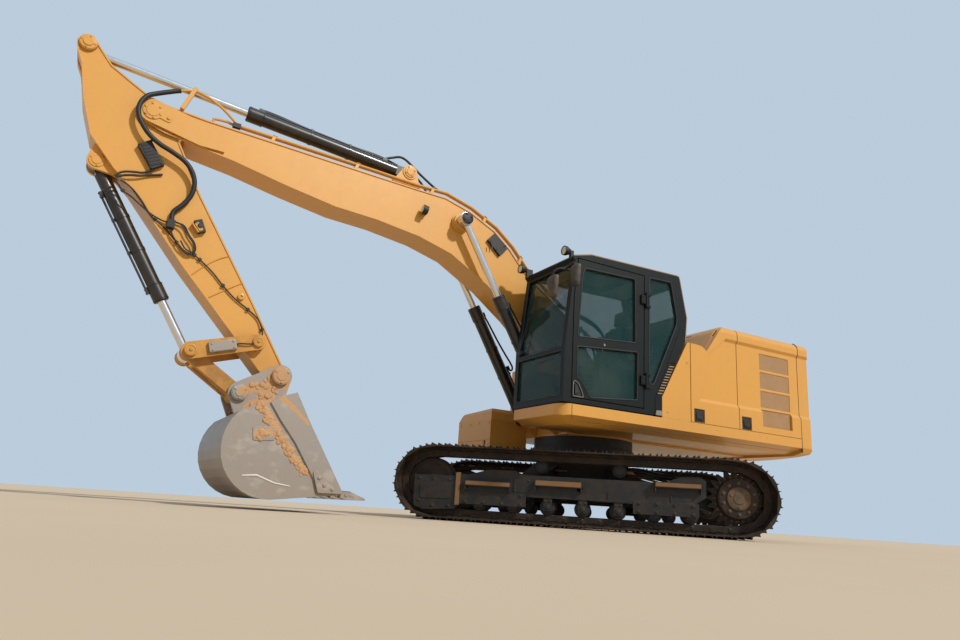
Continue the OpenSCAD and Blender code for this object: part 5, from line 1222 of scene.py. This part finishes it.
for s in BOTH:
    for x, z, y, r in ((0, 0, .253, .084), (.3741, -.2154, .248, .072)):
        caps.lathe((x, s * y, z), s * Y, [(r, -.002), (r, .005), (r * .62, .008), (r * .62, .012),
                                          (0, .012)], 36)
        caps.bolt_circle((x, s * (y + .004), z), s * Y, r * .82, 3, .01, .009, start=.5)
    y = s * BUCKET_HALF
    plates.slab(rounded(by_lip((.015, .01), (.235, .004)) + [(-.3, -.925), (-.335, -.905),
                                                             (-.43, -.99)], .02),
                y + s * .017, y + s * .03)
    for x, z in ((-.5, -1.07), (-.42, -1.04), (-.365, -.975)):
        plates.bolt((x, y + s * .03, z), s * Y, .014, .01)
    plates.slab(rounded([(.294, -.569), (.095, -.547), (.078, -.673), (.276, -.693)], .02), y - s * .001,
                y + s * .007)
    lines.slab([(.33, -.999), (.201, -.985), (.034, -1.044), (-.112, -1.064), (-.112, -1.072), (.034, -1.056),
                (.201, -.999), (.33, -1.01)], y - s * .001, y + s * .005)
    ribs.slab([(-.02, -.235), (.36, -.405), (.35, -.43), (-.03, -.255)], s * .205, s * .262)
ribs.slab([(.05, -.262), (.11, -.286), (.17, -.24), (.16, -.205), (.12, -.19), (.07, -.205)], -.016, .016)


def clods(name, places, seed, size, flat=.45, mat=mat_mud, on=BUCKET):
    """Lumps of dried earth, each pressed onto the face it lies on."""
    body, place = on
    lump_rng = random.Random(seed)
    bm = bmesh.new()
    for p, n, spread, count in places:
        n = Vector(n).normalized()
        a = n.orthogonal().normalized()
        b = n.cross(a)
        for _ in range(count):
            r = lump_rng.uniform(*size)
            c = Vector(p) + a * lump_rng.gauss(0, spread) + b * lump_rng.gauss(0, spread)
            stretch = (lump_rng.uniform(.7, 1.4), lump_rng.uniform(.7, 1.4), flat * lump_rng.uniform(.6, 1.2))
            for v in bmesh.ops.create_icosphere(bm, subdivisions=2, radius=1)["verts"]:
                d = v.co * (1 + lump_rng.uniform(-.16, .16))
                v.co = c + (a * d.x * stretch[0] + b * d.y * stretch[1] + n * d.z * stretch[2]) * r
    for v in bm.verts:
        v.co = place(*v.co)
    dress(object_of(name, bm, None), mat, body)


clods("bucket_clods", [((x, y, z), Z, spread, n) for x, y, z, spread, n in (
    (-.2, 0, -1.088, .13, 60), (-.42, .3, -1.085, .05, 22), (.05, .4, -1.085, .06, 26),
    (.05, -.3, -1.085, .08, 34))]
      + [((x, y, z), (.4, 0, .9), spread, n) for x, y, z, spread, n in (
          (.15, .225, -.33, .035, 8), (.15, -.225, -.33, .035, 8), (.2, 0, -.3, .1, 22))]
      + [((x, y, z), (.7, 0, .6), .05, 8) for x, y, z in ((.3, .45, -.44), (.28, -.45, -.43))], 11,
      (.01, .032), .5)
BAND = [(.235, -.347), (.167, -.421), (.136, -.476), (.08, -.54), (-.005, -.647), (-.09, -.755),
        (-.16, -.841), (-.242, -.915)]
for s, word in LEFT_RIGHT:
    mud = [(x, .676, z, .016, 15) for x, z in BAND]
    mud += [((x0 + x1) / 2, .676, (z0 + z1) / 2, .018, 12) for (x0, z0), (x1, z1) in zip(BAND, BAND[1:])]
    mud += [(.17, .681, -.608, .026, 14)]
    clods(f"side_mud_{word}", [((x + .02, s * y, z - .012), s * Y, spread, n) for x, y, z, spread, n in mud],
          21 + s, (.01, .026), .35)
    clods(f"ear_mud_{word}", [((x, s * .2085, z), s * Y, .017, n) for x, z, n in (
        (.1, -.05, 6), (.14, -.13, 7), (.16, -.22, 9), (.24, -.12, 5), (.22, -.33, 9), (.14, -.3, 7),
        (.04, -.16, 6), (.09, -.22, 7))], 31 + s, (.01, .028), .35)
clods("link_clods", [((2.82, .11, .5), Z, .02, 4), ((2.6, -.11, .6), (.3, 0, 1), .02, 4)], 12, (.01, .02),
      on=("power_link", on_stick))
for side, seed, ahead, on in (("left", 13, (-1.1, -.5, .2, .8, 1.3), LEFT_TRACK),
                              ("right", 14, (-1.2, -.6, .1, .7, 1.2), RIGHT_TRACK)):
    clods(f"{side}_track_clods", [((x, .86, .62), Z, .05, 7) for x in ahead], seed, (.01, .028),
          mat=mat_dust_tan, on=on)

# Hoses at the boom's foot

for s, word in LEFT_RIGHT:
    for k in (0, 1):
        y = s * (.17 - .034 * k)
        line = [on_boom(.705, y, .692), on_boom(.64, y, .676), upper(.02 - .05 * k, y * .95, 2.57 - .03 * k),
                upper(-.2 - .05 * k, y * .9, 2.38 - .03 * k), upper(-.3 - .04 * k, y * .85, 2.1),
                upper(-.32 - .04 * k, y * .85, 1.8)]
        bent_hoses(f"foot_hose_{word}_{k}", [smooth_line(line, 8)], .017, line[3], line[1])

# Floor and lights

FLOOR = 60
floor_mesh = bpy.data.meshes.new("floor")
floor_mesh.from_pydata([(x, y, 0) for x, y in rectangle(-FLOOR, FLOOR, -FLOOR, FLOOR)], [], [(0, 1, 2, 3)])
floor = linked(bpy.data.objects.new("floor", floor_mesh))
fg = Graph("floor_pale", (.8, .77, .72))
fg.put(fg.bsdf, {"Base Color": fg.mix(fg.noise(.6, 3), (.62, .53, .42), (.68, .59, .47)), "Roughness": .9})
floor_mesh.materials.append(fg.mat)

world = bpy.data.worlds.new("studio")
scene.world = world
world.use_nodes = True
tree = world.node_tree


def background(node, colour, strength):
    node.inputs["Color"].default_value = (*colour, 1)
    node.inputs["Strength"].default_value = strength
    return node.outputs[0]


soft_light = background(tree.nodes["Background"], (.95, .88, .78), .42)
sky = background(tree.nodes.new("ShaderNodeBackground"), (.62, .76, .9), .8)
rays = tree.nodes.new("ShaderNodeLightPath").outputs
seen = rays["Is Camera Ray"]
for kind in ("Is Transmission Ray", "Is Glossy Ray"):
    either = tree.nodes.new("ShaderNodeMath")
    either.operation = "MAXIMUM"
    tree.links.new(seen, either.inputs[0])
    tree.links.new(rays[kind], either.inputs[1])
    seen = either.outputs[0]
choose = tree.nodes.new("ShaderNodeMixShader")
for k, socket in enumerate((seen, soft_light, sky)):
    tree.links.new(socket, choose.inputs[k])
tree.links.new(choose.outputs[0], tree.nodes["World Output"].inputs["Surface"])

sun = bpy.data.lights.new("key", "SUN")
sun.energy = 2.7
sun.color = (1, .95, .87)
sun.angle = radians(4)
beam = Vector((-.3, .72, .62)).to_track_quat("Z", "Y")
linked(bpy.data.objects.new("key", sun)).rotation_euler = beam.to_euler()
scene.view_settings.view_transform = "Standard"

for piece in Piece.made:
    piece.finish()
